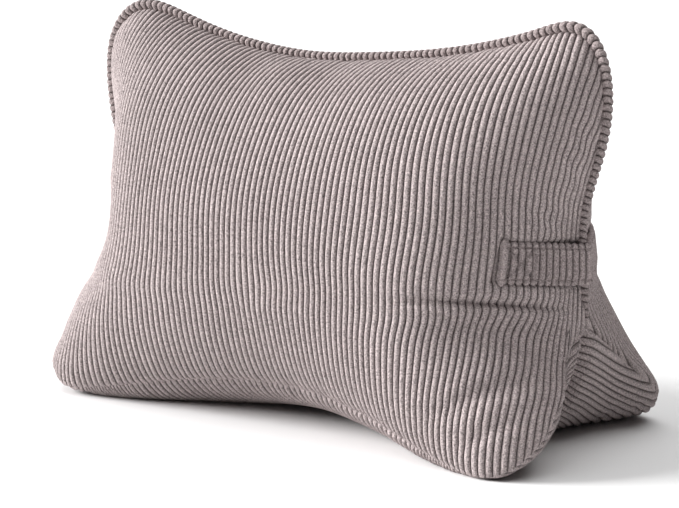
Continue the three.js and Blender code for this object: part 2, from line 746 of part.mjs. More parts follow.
// One lane of the strap: it is drawn tight over the front, the welt and the back in the plane
// square to the seam, with y pointing outwards and x from the front to the back.
function handleLane(cover, normals, share) {
  const { sewnEnd, seam } = HANDLE;
  const startAcross = sewnEnd.lower + (sewnEnd.upper - sewnEnd.lower) * share;
  const seamAcross = seam.lower + (seam.upper - seam.lower) * share;
  const edge = endSeamAt(cover, normals, seamAcross);
  const toBack = new THREE.Vector3().crossVectors(edge.outward, edge.tangent).normalize();
  if (toBack.y < 0) toBack.negate();
  const outward = new THREE.Vector3().crossVectors(toBack, edge.tangent).normalize();
  if (outward.x < 0) outward.negate();
  const toPlane = (point) => {
    const offset = point.clone().sub(edge.point);
    return { x: offset.dot(toBack), y: offset.dot(outward), z: offset.dot(edge.tangent) };
  };
  const touched = [];
  const steps = Math.ceil((edge.along - sewnEnd.along) / SAMPLE_STEP);
  for (const leaf of [FRONT_TOP, BACK_TOP]) {
    for (let step = 0; step < steps; step += 1) {
      const part = step / steps;
      const along = sewnEnd.along + (edge.along - sewnEnd.along) * part;
      const across = startAcross + (seamAcross - startAcross) * part;
      const { point, normal } = surfaceAt(cover, normals, leaf, along, across);
      touched.push(toPlane(point.addScaledVector(normal, HANDLE_GAP)));
    }
  }
  const weltReach = WELT_RADIUS + HANDLE_GAP;
  const weltCentre = WELT_RADIUS + SEAM_GAP;
  for (let angle = 0; angle <= 180; angle += WELT_TOUCH_STEP) {
    const turn = THREE.MathUtils.degToRad(angle);
    const height = weltCentre + weltReach * Math.sin(turn);
    touched.push({ x: -weltReach * Math.cos(turn), y: height, z: 0 });
  }
  const inner = spaceEvenly(tautLine(touched), HANDLE_STEPS);
  const toSpace = ({ x, y, z }, lift, lineNormal) => edge.point.clone()
    .addScaledVector(toBack, x + lineNormal.x * lift)
    .addScaledVector(outward, y + lineNormal.y * lift)
    .addScaledVector(edge.tangent, z);
  return inner.map((point, index) => {
    const before = inner[Math.max(index - 1, 0)];
    const after = inner[Math.min(index + 1, inner.length - 1)];
    const run = Math.hypot(after.x - before.x, after.y - before.y);
    const lineNormal = { x: -(after.y - before.y) / run, y: (after.x - before.x) / run };
    return [toSpace(point, 0, lineNormal), toSpace(point, HANDLE_THICKNESS, lineNormal)];
  });
}

function handleGeometry(cover) {
  const normals = cover.normals();
  const lanes = [];
  for (let lane = 0; lane <= HANDLE_LANES; lane += 1) {
    lanes.push(handleLane(cover, normals, lane / HANDLE_LANES));
  }
  // Each ring goes once round the strap: up its inner side and down its outer side.
  const points = [];
  for (let step = 0; step <= HANDLE_STEPS; step += 1) {
    for (let lane = 0; lane <= HANDLE_LANES; lane += 1) points.push(...lanes[lane][step][0].toArray());
    for (let lane = HANDLE_LANES; lane >= 0; lane -= 1) points.push(...lanes[lane][step][1].toArray());
  }
  const sides = 2 * (HANDLE_LANES + 1);
  const faces = tubeFaces(HANDLE_STEPS + 1, sides).slice(0, 2 * HANDLE_STEPS * sides);
  for (let lane = 0; lane < HANDLE_LANES; lane += 1) {
    const far = sides - 1 - lane;
    faces.push([lane, far, far - 1], [lane, far - 1, lane + 1]);
    const end = HANDLE_STEPS * sides;
    faces.push([end + lane, end + far - 1, end + far], [end + lane, end + lane + 1, end + far - 1]);
  }
  return meshGeometry(points, faces);
}

// ---- the pillow ----------------------------------------------------------------------------
function clothMaterial(colour) {
  return new THREE.MeshStandardMaterial({ color: colour, roughness: 0.95, metalness: 0 });
}

function namedMesh(name, geometry, colour) {
  const mesh = new THREE.Mesh(geometry, clothMaterial(colour));
  mesh.name = name;
  return mesh;
}

const cover = makeCover();
const pillow = new THREE.Group();
pillow.add(namedMesh('cushion', meshGeometry([...cover.position], cover.faces), COVER_COLOUR));
pillow.add(namedMesh('welt', weltGeometry(cover), WELT_COLOUR));
pillow.add(namedMesh('handle', handleGeometry(cover), HANDLE_COLOUR));

export default pillow;
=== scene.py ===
"""A lumbar support pillow in wide-wale corduroy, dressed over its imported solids.

The cover is worked out the way the pillow is made: three cloth panels are cut flat, sewn together
along three seams, filled, and stood on their two feet. The corduroy's ribs, the welt, the strap
handle and its stitches are then laid on that form. Sizes in the classes are millimetres; the
meshes are in metres.
"""

import logging
import math
from collections.abc import Callable
from dataclasses import astuple, dataclass, field
from enum import Enum, IntEnum

import bpy
import numpy as np
from mathutils import Matrix, Vector

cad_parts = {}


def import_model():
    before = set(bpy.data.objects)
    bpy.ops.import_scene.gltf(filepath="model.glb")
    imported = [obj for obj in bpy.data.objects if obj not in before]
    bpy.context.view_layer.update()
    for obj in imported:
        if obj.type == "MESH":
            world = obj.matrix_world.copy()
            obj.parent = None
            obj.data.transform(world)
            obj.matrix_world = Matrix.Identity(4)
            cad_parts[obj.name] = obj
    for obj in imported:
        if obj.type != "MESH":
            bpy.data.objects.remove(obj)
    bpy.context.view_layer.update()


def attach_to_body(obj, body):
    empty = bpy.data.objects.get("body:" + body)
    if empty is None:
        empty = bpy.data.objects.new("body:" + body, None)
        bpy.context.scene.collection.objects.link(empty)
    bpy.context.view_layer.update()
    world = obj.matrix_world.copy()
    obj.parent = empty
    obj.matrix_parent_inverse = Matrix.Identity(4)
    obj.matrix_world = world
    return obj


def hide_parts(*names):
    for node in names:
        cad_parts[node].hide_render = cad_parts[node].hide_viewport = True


LOG = logging.getLogger("pillow")
Array = np.ndarray
MM = 0.001
# Distance between the cover's ribs, and from the pillow's middle to the first groove.
RIB_PITCH = 5.0
FIRST_GROOVE = 4.22
# Rings on a quarter round end.
END_RINGS = 6


# ---- shared shape helpers
def unit(vectors: Array) -> Array:
    """Returns vectors scaled to length one, along their last axis."""
    return vectors / np.maximum(np.linalg.norm(vectors, axis=-1, keepdims=True), 1e-12)


def ease(value: Array, start: float, end: float) -> Array:
    """Returns 0 below start, 1 above end and a smooth cubic rise, 3t^2 - 2t^3, between them."""
    share = np.clip((value - start) / (end - start), 0, 1)
    return share * share * (3 - 2 * share)


def bell(value: Array) -> Array:
    """Returns 1 at 0, and a bell curve's fall on both sides of it."""
    return np.exp(-(value**2))


def off_crest(phase: Array) -> Array:
    """Returns 0 on a rib's crest and 1 in its grooves, which are at whole numbers."""
    return np.abs(2 * (phase - np.floor(phase)) - 1)


def lengths_along(points: Array) -> Array:
    """Returns the length of a row of points up to each of them."""
    return np.concatenate([[0], np.cumsum(np.linalg.norm(np.diff(points, axis=0), axis=1))])


def with_round_ends(inner: Array, length: float, radius: float, apart: float) -> Array:
    """Adds the rings of two round ends to places along a piece.

    Args:
        inner: places between the ends, in order.
        length: the piece's length.
        radius: the ends' radius.
        apart: least distance from an end's last ring to the next one.

    Returns:
        The places, from 0 to the length.
    """
    cap = radius * (1 - np.cos(np.linspace(0, np.pi / 2, END_RINGS)))
    start, end = cap[-1] + apart, length - cap[-1] - apart
    return np.concatenate([cap, inner[(inner > start) & (inner < end)], length - cap[::-1]])


def end_round(from_end: Array, radius: float) -> Array:
    """Returns a round end's share of the full size, from 0 at the very end."""
    rest = np.clip(1 - from_end / radius, 0, 1)
    return np.sqrt(1 - rest * rest)


def spline_weights(share: Array) -> Array:
    """Gives the four weights of a uniform cubic B-spline.

    Args:
        share: place within a cell of the net, from 0 to 1.

    Returns:
        The weights of the points before, at, after and two after the cell's start, last axis 4.
    """
    rest = 1 - share
    return np.stack(
        [
            rest**3 / 6,
            (3 * share**3 - 6 * share**2 + 4) / 6,
            (3 * rest**3 - 6 * rest**2 + 4) / 6,
            share**3 / 6,
        ],
        axis=-1,
    )


def with_phantoms(net: Array, axis: int) -> Array:
    """Adds a point at both ends of an axis of a net, so that its spline ends where the net does.

    Args:
        net: the net of points.
        axis: the axis.

    Returns:
        The longer net.
    """
    first = 2 * np.take(net, [0], axis) - np.take(net, [1], axis)
    last = 2 * np.take(net, [-1], axis) - np.take(net, [-2], axis)
    return np.concatenate([first, net, last], axis)


def spline_curve(points: Array, place: Array) -> Array:
    """Evaluates the B-spline that follows a row of points.

    Args:
        points: control points, shape (count, size).
        place: where to evaluate it, in steps from the first point.

    Returns:
        The curve's points, shape place.shape + (size,).
    """
    padded = with_phantoms(points, 0)
    cell = np.clip(np.floor(place).astype(int), 0, len(points) - 2)
    weights = spline_weights(place - cell)
    return sum(weights[..., k, None] * padded[cell + k] for k in range(4))


def spline_surface(net: Array, column: Array, row: Array) -> Array:
    """Evaluates the B-spline surface of a net of points.

    Args:
        net: control points, shape (columns, rows, size).
        column: where to evaluate it, in cells along the first axis.
        row: the same along the second axis.

    Returns:
        The surface's points, shape column.shape + (size,).
    """
    padded = with_phantoms(with_phantoms(net, 0), 1)
    i = np.clip(np.floor(column).astype(int), 0, net.shape[0] - 2)
    j = np.clip(np.floor(row).astype(int), 0, net.shape[1] - 2)
    across = spline_weights(column - i)
    down = spline_weights(row - j)
    total = 0
    for a in range(4):
        for b in range(4):
            total = total + (across[..., a] * down[..., b])[..., None] * padded[i + a, j + b]
    return total


def bisect(grows: Callable[[Array], Array], target: Array, steps: int = 24) -> Array:
    """Finds where a rising function of 0 to 1 reaches a target, by halving.

    Args:
        grows: function of an array of shares.
        target: wanted values.
        steps: number of halvings.

    Returns:
        The shares, from 0 to 1.
    """
    low, high = np.zeros(target.shape), np.ones(target.shape)
    for _ in range(steps):
        middle = (low + high) / 2
        under = grows(middle) < target
        low = np.where(under, middle, low)
        high = np.where(under, high, middle)
    return (low + high) / 2


# ---- the cut
@dataclass(frozen=True)
class EndCut:
    """A lobe's flat size at one end of the pillow."""

    depth: float
    corner_along: float
    corner_across: float


@dataclass(frozen=True)
class Lobe:
    """A lobe's flat size, from the waist row outwards."""

    half_length: float
    middle_depth: float
    left: EndCut
    right: EndCut


class Leaf(IntEnum):
    """The six half panels, in their order round the pillow."""

    FRONT_TOP = 0
    FRONT_FOOT = 1
    BASE_FRONT = 2
    BASE_BACK = 3
    BACK_FOOT = 4
    BACK_TOP = 5


@dataclass(frozen=True)
class Cut:
    """The flat cut of the cover."""

    # Rounds in which a point's two distances are fitted to each other.
    FITTINGS = 3

    waist_half_length: float = 278.4
    top: Lobe = Lobe(254.9, 215, EndCut(222.5, 79.3, 150), EndCut(212.8, 45.4, 144.2))
    front: Lobe = Lobe(255.5, 84.4, EndCut(113.3, 78.4, 106), EndCut(132.3, 75, 118))
    back: Lobe = Lobe(248.7, 87.3, EndCut(142.7, 79.3, 76.9), EndCut(142.7, 79.3, 76.9))

    def lobe(self, leaf: Leaf) -> Lobe:
        """Returns the lobe that a leaf belongs to."""
        return (self.top, self.front, self.front, self.back, self.back, self.top)[leaf]

    def flat(self, leaf: Leaf, side: Array, share: Array, reach: Array) -> tuple[Array, Array]:
        """Places points on a flat leaf.

        The outer edge is a shallow cosine wave from the middle depth to the end depth, the end
        edge leans from the waist to the lobe as a squared sine, and the corner between them is
        squeezed from a square into a quarter round.

        Args:
            leaf: the leaf.
            side: -1 at the left-hand end and 1 at the right-hand end.
            share: 0 at the middle of the pillow, 1 at its end edge.
            reach: 0 on the waist row, 1 on the outer edge.

        Returns:
            Distance from the middle, without its sign, and distance from the waist.
        """
        lobe = self.lobe(leaf)
        ends = zip(astuple(lobe.left), astuple(lobe.right))
        depth, corner_along, corner_across = (np.where(side < 0, *pair) for pair in ends)

        def depth_at(along: Array) -> Array:
            """Returns the outer edge's distance from the waist."""
            wave = (1 - np.cos(np.pi * np.clip(along / lobe.half_length, 0, 1))) / 2
            return lobe.middle_depth + (depth - lobe.middle_depth) * wave

        def length_at(across: Array) -> Array:
            """Returns the end edge's distance from the middle."""
            lean = np.sin(np.pi / 2 * np.clip(across / (depth - corner_across), 0, 1)) ** 2
            return self.waist_half_length + (lobe.half_length - self.waist_half_length) * lean

        along = share * lobe.half_length
        across = 0 * along
        for _ in range(self.FITTINGS):
            across = reach * depth_at(along)
            along = share * length_at(across)
        x = np.clip((along - (lobe.half_length - corner_along)) / corner_along, 0, 1)
        y = np.clip((across - (depth_at(along) - corner_across)) / corner_across, 0, 1)
        along = along + corner_along * (x * np.sqrt(1 - y * y / 2) - x)
        across = across + corner_across * (y * np.sqrt(1 - x * x / 2) - y)
        return along, across


# ---- the filled cover
@dataclass(frozen=True)
class Filling:
    """How the filling and the floor press on the cloth."""

    fullness: float = 0.904
    pressure: float = 0.0179
    weight: float = 0.0004
    first_bulge: float = 18.0


class FilledCover:
    """The sewn cover as a coarse net of threads, filled and stood on its feet."""

    COLUMNS = 48
    ROWS = 10
    # First row in which a foot's tip may lie.
    TIP_ROW = 7
    # Steps of the first filling and of the one to the right volume, and the speed kept in each.
    FIRST_STEPS = 300
    FIRST_KEEP = 0.97
    FILL_STEPS = 120
    KEEP = 0.93
    # How hard a lack of volume is pushed against, and how much of each thread's pull is given.
    VOLUME_EAGERNESS = 20
    PULL_EAGERNESS = 1.6
    PULLS_IN_A_STEP = 2
    # Least share of the mean cloth that a vertex has, and the slide that the floor lets through.
    LEAST_CLOTH = 0.2
    FLOOR_SLIDE = 0.3
    # Turns that level the feet, the belly's lifts with their steps, and the steps of standing.
    LEVELLINGS = 5
    LIFTS = 12
    LIFT_STEPS = 5
    STANDING_STEPS = 80
    # Evening of the top seam: passes, rows that move with it, columns of the fade at each horn.
    SEAM_PASSES = 20
    SEAM_ROWS = 5
    SEAM_FADE = 8
    # Smoothing: passes, the share moved forth and back in each, and the height of lying cloth.
    SMOOTHINGS = 14
    SMOOTH_SHARES = (0.5, -0.53)
    LYING_HEIGHT = 0.5
    SEWN_PAIRS = (
        (Leaf.BACK_TOP, Leaf.FRONT_TOP),
        (Leaf.BASE_FRONT, Leaf.FRONT_FOOT),
        (Leaf.BACK_FOOT, Leaf.BASE_BACK),
    )
    PANEL_PAIRS = (
        (Leaf.FRONT_FOOT, Leaf.FRONT_TOP),
        (Leaf.BASE_BACK, Leaf.BASE_FRONT),
        (Leaf.BACK_TOP, Leaf.BACK_FOOT),
    )
    # Columns and rows that a family of threads spans, its stiffness, and whether it is the cord.
    THREADS = (
        (1, 0, 1.0, False),
        (0, 1, 1.0, False),
        (1, 1, 0.3, False),
        (1, -1, 0.3, False),
        (2, 0, 0.05, False),
        (0, 2, 0.05, False),
        (2, 0, 0.5, True),
        (3, 0, 0.5, True),
    )

    def __init__(self, cut: Cut, filling: Filling) -> None:
        """Lays the cut cloth out flat, ready to be filled.

        Args:
            cut: the cover's flat cut.
            filling: how the filling presses.
        """
        self.cut = cut
        self.filling = filling
        self.flat = self._flat_net()
        self.vertex = self._weld()
        self.count = int(self.vertex.max()) + 1
        self.faces = self._faces()
        self.position = self._laid_out()
        self.velocity = np.zeros_like(self.position)
        self._share_cloth()
        self._tie_threads()

    def fill(self) -> "FilledCover":
        """Fills the cover, stands it up and evens it out.

        Returns:
            The cover itself.
        """
        self._settle(self.FIRST_STEPS, self.FIRST_KEEP)
        volume = self._volume() * self.filling.fullness
        self._settle(self.FILL_STEPS, self.KEEP, volume)
        self._stand_up(volume)
        self._centre()
        self._even_top_seam()
        self._smooth()
        self._centre()
        return self

    def net(self, leaf: Leaf) -> Array:
        """Returns a leaf's filled points, shape (columns, rows, 3)."""
        return self.position[self.vertex[leaf]]

    def normals(self) -> Array:
        """Returns the outward direction at each vertex."""
        return unit(self._gather_ways(self.faces.ravel(), np.repeat(self._crosses(), 3, axis=0)))

    def seam_cells(self) -> list[tuple[int, int]]:
        """Lists the cells along a lobe's seam.

        Returns:
            Columns and rows, from the left-hand end corner to the right.
        """
        up = [(0, row) for row in range(self.ROWS)]
        along = [(column, self.ROWS) for column in range(self.COLUMNS + 1)]
        down = [(self.COLUMNS, row) for row in range(self.ROWS - 1, -1, -1)]
        return up + along + down

    def seam_vertices(self, leaf: Leaf) -> Array:
        """Returns the vertices along the seam of a leaf's lobe."""
        cells = np.array(self.seam_cells())
        return self.vertex[leaf, cells[:, 0], cells[:, 1]]

    def _flat_net(self) -> Array:
        """Lays out all leaves' cells on the flat cloth.

        Returns:
            Distances along and across, shape (leaves, columns, rows, 2).
        """
        side = np.linspace(-1, 1, self.COLUMNS + 1)[:, None] + np.zeros(self.ROWS + 1)
        reach = np.linspace(0, 1, self.ROWS + 1)[None, :] + 0 * side
        leaves = []
        for leaf in Leaf:
            along, across = self.cut.flat(leaf, side, np.abs(side), reach)
            leaves.append(np.stack([along * np.sign(side), across], -1))
        return np.array(leaves)

    def _weld(self) -> Array:
        """Sews the leaves together.

        Returns:
            Each cell's vertex, shared with the cells that it is sewn to.
        """
        cells = np.arange(self.flat[..., 0].size).reshape(self.flat.shape[:3])
        for a, b in self.SEWN_PAIRS:
            cells[a, :, -1] = cells[b, :, -1]
            cells[a, 0] = cells[b, 0]
            cells[a, -1] = cells[b, -1]
        for a, b in self.PANEL_PAIRS:
            cells[a, 1:-1, 0] = cells[b, 1:-1, 0]
        for column in (0, -1):
            cells[1:, column, 0] = cells[0, column, 0]
        return np.unique(cells, return_inverse=True)[1].reshape(cells.shape)

    def _faces(self) -> Array:
        """Cuts the cells into triangles that mirror each other at both ends.

        Returns:
            The triangles, facing outwards.
        """
        faces = []
        for leaf in Leaf:
            v = self.vertex[leaf]
            a, b, c, d = (part.ravel() for part in (v[:-1, :-1], v[1:, :-1], v[1:, 1:], v[:-1, 1:]))
            right = np.repeat(np.arange(self.COLUMNS) >= self.COLUMNS // 2, self.ROWS)[:, None]
            pairs = (((a, b, c), (a, b, d)), ((a, c, d), (b, c, d)))
            both = [np.where(right, np.stack(r, -1), np.stack(s, -1)) for r, s in pairs]
            both = np.concatenate(both)
            if leaf in (Leaf.FRONT_FOOT, Leaf.BASE_BACK, Leaf.BACK_TOP):
                both = both[:, ::-1]
            x, y, z = both.T
            faces.append(both[(x != y) & (y != z) & (x != z)])
        return np.concatenate(faces)

    def _laid_out(self) -> Array:
        """Lays the leaves out as a flat star of three arms, each slightly parted from its pair.

        Returns:
            The vertices' places.
        """
        spread = math.cos(math.pi / 6)
        arms = np.array([(0, 0, 1), (0, -spread, -0.5), (0, spread, -0.5)])
        outward = np.array([(0, -spread, 0.5), (0, 0, -1), (0, spread, 0.5)])
        lobe_of = (0, 1, 1, 2, 2, 0)
        panel_of = (0, 0, 1, 1, 2, 2)
        start = np.zeros(self.flat.shape[:3] + (3,))
        for leaf in Leaf:
            along, across = self.flat[leaf, ..., 0], self.flat[leaf, ..., 1]
            to_end = np.clip(1 - (np.abs(along) / self.flat[..., 0].max()) ** 2, 0, 1)
            to_seam = np.clip((across.max(1)[:, None] - across) / across.max(), 0, 1)
            bulge = self.filling.first_bulge * to_end * to_seam
            start[leaf, ..., 0] = along
            start[leaf] += across[..., None] * arms[lobe_of[leaf]]
            start[leaf] += bulge[..., None] * outward[panel_of[leaf]]
        used = np.bincount(self.vertex.ravel(), minlength=self.count)
        return self._collect(start) / used[:, None]

    def _gather(self, where: Array, values: Array) -> Array:
        """Returns the sum of the values at each vertex."""
        return np.bincount(where, values, minlength=self.count)

    def _gather_ways(self, where: Array, ways: Array) -> Array:
        """Returns the sum of the vectors at each vertex."""
        return np.stack([self._gather(where, ways[:, k]) for k in range(3)], -1)

    def _collect(self, ways: Array) -> Array:
        """Sums vectors on the cells of all leaves at their vertices."""
        return self._gather_ways(self.vertex.ravel(), ways.reshape(-1, 3))

    def _crosses(self) -> Array:
        """Returns twice each face's area, along its outward direction."""
        a, b, c = (self.position[self.faces[:, k]] for k in range(3))
        return np.cross(b - a, c - a)

    def _volume(self) -> float:
        """Returns the volume inside the cover, in cubic millimetres."""
        return float((self.position[self.faces[:, 0]] * self._crosses()).sum() / 6)

    def _share_cloth(self) -> None:
        """Gives each vertex its share of the cloth's area."""
        area = np.linalg.norm(self._crosses(), axis=1) / 2
        share = self._gather(self.faces.ravel(), np.repeat(area, 3) / 3)
        self.share = np.maximum(share, share.mean() * self.LEAST_CLOTH)

    def _tie_threads(self) -> None:
        """Ties the threads, each as long as the flat distance between its two cells."""
        self.threads = []
        pulls = np.zeros(self.flat.shape[:3])
        for columns, rows, stiffness, is_cord in self.THREADS:
            near_rows = slice(max(-rows, 0), self.ROWS + 1 - max(rows, 0))
            far_rows = slice(max(rows, 0), self.ROWS + 1 + min(rows, 0))
            if is_cord:
                near_rows = far_rows = slice(-1, None)
            near = (slice(None), slice(0, self.COLUMNS + 1 - columns), near_rows)
            far = (slice(None), slice(columns, None), far_rows)
            length = np.linalg.norm(self.flat[near] - self.flat[far], axis=-1)
            stiff = np.where(length > 1e-6, stiffness, 0.0)
            if is_cord:
                stiff[Leaf.FRONT_FOOT : Leaf.BACK_TOP] = 0
            pulls[near] += stiff > 0
            pulls[far] += stiff > 0
            self.threads.append((near, far, length, stiff))
        self.pulls = np.maximum(self._gather(self.vertex.ravel(), pulls.ravel()), 1)[:, None]

    def _settle(
        self, steps: int, keep: float, volume: float | None = None, floor: float | None = None
    ) -> None:
        """Moves the cloth for a number of steps.

        Args:
            steps: number of steps.
            keep: share of its speed that the cloth keeps in a step.
            volume: volume that the filling pushes towards, or None for a steady push.
            floor: height of the floor, or None where the cover hangs free.
        """
        weight = 0.0 if floor is None else self.filling.weight
        for _ in range(steps):
            pressure = self.filling.pressure
            if volume is not None:
                lack = (volume - self._volume()) / volume * self.VOLUME_EAGERNESS
                pressure *= min(max(lack, -1), 1)
            push = np.repeat(self._crosses() * pressure / 6, 3, axis=0)
            gain = self._gather_ways(self.faces.ravel(), push) / self.share[:, None]
            gain[:, 2] -= weight
            self.velocity = (self.velocity + gain) * keep
            before = self.position
            self.position = before + self.velocity
            for _ in range(self.PULLS_IN_A_STEP):
                self._pull()
            if floor is not None:
                below = self.position[:, 2] < floor
                slide = self.position[below, :2] - before[below, :2]
                self.position[below, :2] = before[below, :2] + slide * self.FLOOR_SLIDE
                self.position[below, 2] = floor
            self.velocity = self.position - before

    def _pull(self) -> None:
        """Pulls the vertices towards the flat lengths of their threads."""
        points = self.position[self.vertex]
        shift = np.zeros_like(points)
        for near, far, length, stiff in self.threads:
            gap = points[far] - points[near]
            now = np.sqrt((gap * gap).sum(-1)) + 1e-9
            give = (0.5 * stiff * (now - length) / now)[..., None] * gap
            shift[near] += give
            shift[far] -= give
        self.position = self.position + self._collect(shift) / self.pulls * self.PULL_EAGERNESS

    def _foot_tips(self) -> Array:
        """Finds the lowest point of each foot at each end.

        Returns:
            Front left, front right, back left and back right.
        """
        tips = []
        half = self.COLUMNS // 2
        for leaves in ((Leaf.FRONT_FOOT, Leaf.BASE_FRONT), (Leaf.BASE_BACK, Leaf.BACK_FOOT)):
            for columns in (slice(0, half), slice(half + 1, None)):
                near = [self.vertex[leaf][columns, self.TIP_ROW :].ravel() for leaf in leaves]
                places = self.position[np.concatenate(near)]
                tips.append(places[places[:, 2].argmin()])
        return np.array(tips)

    def _turn(self, first: int, second: int, angle: float) -> None:
        """Turns the cover in the plane of two axes.

        Args:
            first, second: the axes.
            angle: the turn from the first to the second, in radians.
        """
        a, b = self.position[:, first].copy(), self.position[:, second].copy()
        self.position[:, first] = a * math.cos(angle) - b * math.sin(angle)
        self.position[:, second] = a * math.sin(angle) + b * math.cos(angle)

    def _stand_up(self, volume: float) -> None:
        """Levels the four foot tips, and then presses the belly up with the floor.

        Args:
            volume: volume inside the cover.
        """
        for _ in range(self.LEVELLINGS):
            tips = self._foot_tips()
            front, back = tips[:2].mean(0), tips[2:].mean(0)
            self._turn(1, 2, -math.atan2(back[2] - front[2], back[1] - front[1]))
            tips = self._foot_tips()
            left, right = tips[::2].mean(0), tips[1::2].mean(0)
            self._turn(2, 0, math.atan2(right[2] - left[2], right[0] - left[0]))
        self.velocity[:] = 0
        belly = self.position[:, 2].min()
        height = self._foot_tips()[:, 2].mean()
        for lift in range(self.LIFTS):
            floor = belly + (height - belly) * (lift + 1) / self.LIFTS
            self._settle(self.LIFT_STEPS, self.KEEP, volume, floor)
        self._settle(self.STANDING_STEPS, self.KEEP, volume, height)

    def _centre(self) -> None:
        """Puts the floor at height 0 and the middle of the cover over the origin."""
        low, high = self.position.min(0), self.position.max(0)
        self.position = self.position - [(low[0] + high[0]) / 2, (low[1] + high[1]) / 2, low[2]]

    def _even_top_seam(self) -> None:
        """Moves the middle of the top seam towards its running mean, and the rows beside it."""
        seam = self.vertex[Leaf.FRONT_TOP][:, -1]
        start = self.position[seam].copy()
        line = start.copy()
        from_horn = np.minimum(np.arange(self.COLUMNS + 1), np.arange(self.COLUMNS + 1)[::-1])
        share = np.clip(from_horn / self.SEAM_FADE - 0.5, 0, 1)[:, None]
        for _ in range(self.SEAM_PASSES):
            mean = line.copy()
            mean[1:-1] = (line[:-2] + 2 * line[1:-1] + line[2:]) / 4
            line = line + (mean - line) * share
        for row in range(self.SEAM_ROWS):
            shift = (line - start) * (1 - row / self.SEAM_ROWS)
            self.position[self.vertex[Leaf.FRONT_TOP][:, -1 - row]] += shift
            if row:
                self.position[self.vertex[Leaf.BACK_TOP][:, -1 - row]] += shift

    def _smooth(self) -> None:
        """Takes small kinks out of the cloth; on a seam only along it, and never off the floor."""
        pairs = np.concatenate([self.faces[:, [a, b]] for a, b in ((0, 1), (1, 2), (2, 0))])
        pairs = np.unique(np.concatenate([pairs, pairs[:, ::-1]]), axis=0)
        on_seam = np.zeros(self.count, bool)
        chains = []
        for _, leaf in self.SEWN_PAIRS:
            line = self.seam_vertices(leaf)
            on_seam[line] = True
            chains += [np.stack([line[1:-1], line[:-2]], -1), np.stack([line[1:-1], line[2:]], -1)]
        ends = np.unique([self.vertex[0, 0, 0], self.vertex[0, -1, 0]])
        chains.append(np.stack([ends, ends], -1))
        pairs = np.concatenate([pairs[~on_seam[pairs[:, 0]]]] + chains)
        number = self._gather(pairs[:, 0], np.ones(len(pairs)))[:, None]
        lying = self.position[:, 2] < self.LYING_HEIGHT
        for _ in range(self.SMOOTHINGS):
            for share in self.SMOOTH_SHARES:
                mean = self._gather_ways(pairs[:, 0], self.position[pairs[:, 1]]) / number
                self.position = self.position + (mean - self.position) * share
        self.position[:, 2] = np.where(lying, 0, np.maximum(self.position[:, 2], 0))


# ---- meshes
@dataclass
class Patch:
    """A part of a mesh: points, faces of equal size, and a map of the cloth on the points."""

    points: Array
    faces: Array
    cloth: Array


def grid_faces(rows: int, columns: int, closed: bool = False) -> Array:
    """Joins the points of a grid with quads.

    Args:
        rows: number of points along the first axis.
        columns: number of points along the second axis.
        closed: whether the second axis runs round and meets itself.

    Returns:
        Quads as indices of the grid's points in row order, shape (count, 4).
    """
    i = np.arange(rows - 1)[:, None]
    j = np.arange(columns if closed else columns - 1)[None, :]
    after = (j + 1) % columns
    quads = [i * columns + j, (i + 1) * columns + j, (i + 1) * columns + after, i * columns + after]
    return np.stack(quads, -1).reshape(-1, 4)


def grid_patch(points: Array, cloth: Array, closed: bool = False) -> Patch:
    """Returns a grid of points, and its map of the cloth, as a patch."""
    faces = grid_faces(*points.shape[:2], closed)
    return Patch(points.reshape(-1, 3), faces, cloth.reshape(-1, 2))


class ClothMesh:
    """Makes a smooth-shaded mesh object, in metres, from patches in millimetres."""

    # Decimals of a millimetre by which points are told apart.
    DECIMALS = 4

    def __init__(self, name: str, patches: list[Patch]) -> None:
        """Joins the patches, welds points that coincide, and makes the object.

        Args:
            name: the object's name.
            patches: the mesh's parts.
        """
        offsets = np.cumsum([0] + [len(patch.points) for patch in patches])
        points = np.concatenate([patch.points for patch in patches])
        cloth = np.concatenate([patch.cloth for patch in patches])
        polygons = [patch.faces + offset for patch, offset in zip(patches, offsets)]
        keys = np.round(points, self.DECIMALS)
        _, first, merged = np.unique(keys, axis=0, return_index=True, return_inverse=True)
        loops, sizes, source = self._clean(polygons, merged.ravel())
        mesh = bpy.data.meshes.new(name)
        mesh.vertices.add(len(first))
        mesh.vertices.foreach_set("co", (points[first] * MM).astype(np.float32).ravel())
        mesh.loops.add(len(loops))
        mesh.loops.foreach_set("vertex_index", loops.astype(np.int32))
        mesh.polygons.add(len(sizes))
        starts = np.concatenate([[0], np.cumsum(sizes)[:-1]])
        mesh.polygons.foreach_set("loop_start", starts.astype(np.int32))
        mesh.polygons.foreach_set("use_smooth", np.ones(len(sizes), bool))
        layer = mesh.uv_layers.new(name="cloth")
        layer.data.foreach_set("uv", cloth[source].astype(np.float32).ravel())
        mesh.update()
        mesh.validate()
        self.object = bpy.data.objects.new(name, mesh)
        bpy.context.collection.objects.link(self.object)

    @staticmethod
    def _clean(polygons: list[Array], merged: Array) -> tuple[Array, Array, Array]:
        """Drops corners that welding has doubled.

        Args:
            polygons: arrays of faces, one for each face size.
            merged: the welded vertex of each point.

        Returns:
            Loop vertices, face sizes, and the point that each loop comes from.
        """
        loops, sizes, source = [], [], []
        for faces in polygons:
            welded = merged[faces]
            keep = welded != np.roll(welded, 1, axis=1)
            number = keep.sum(1)
            for size in range(3, faces.shape[1] + 1):
                chosen = number == size
                loops.append(welded[chosen][keep[chosen]])
                source.append(faces[chosen][keep[chosen]])
                sizes.append(np.full(chosen.sum(), size))
        return np.concatenate(loops), np.concatenate(sizes), np.concatenate(source)


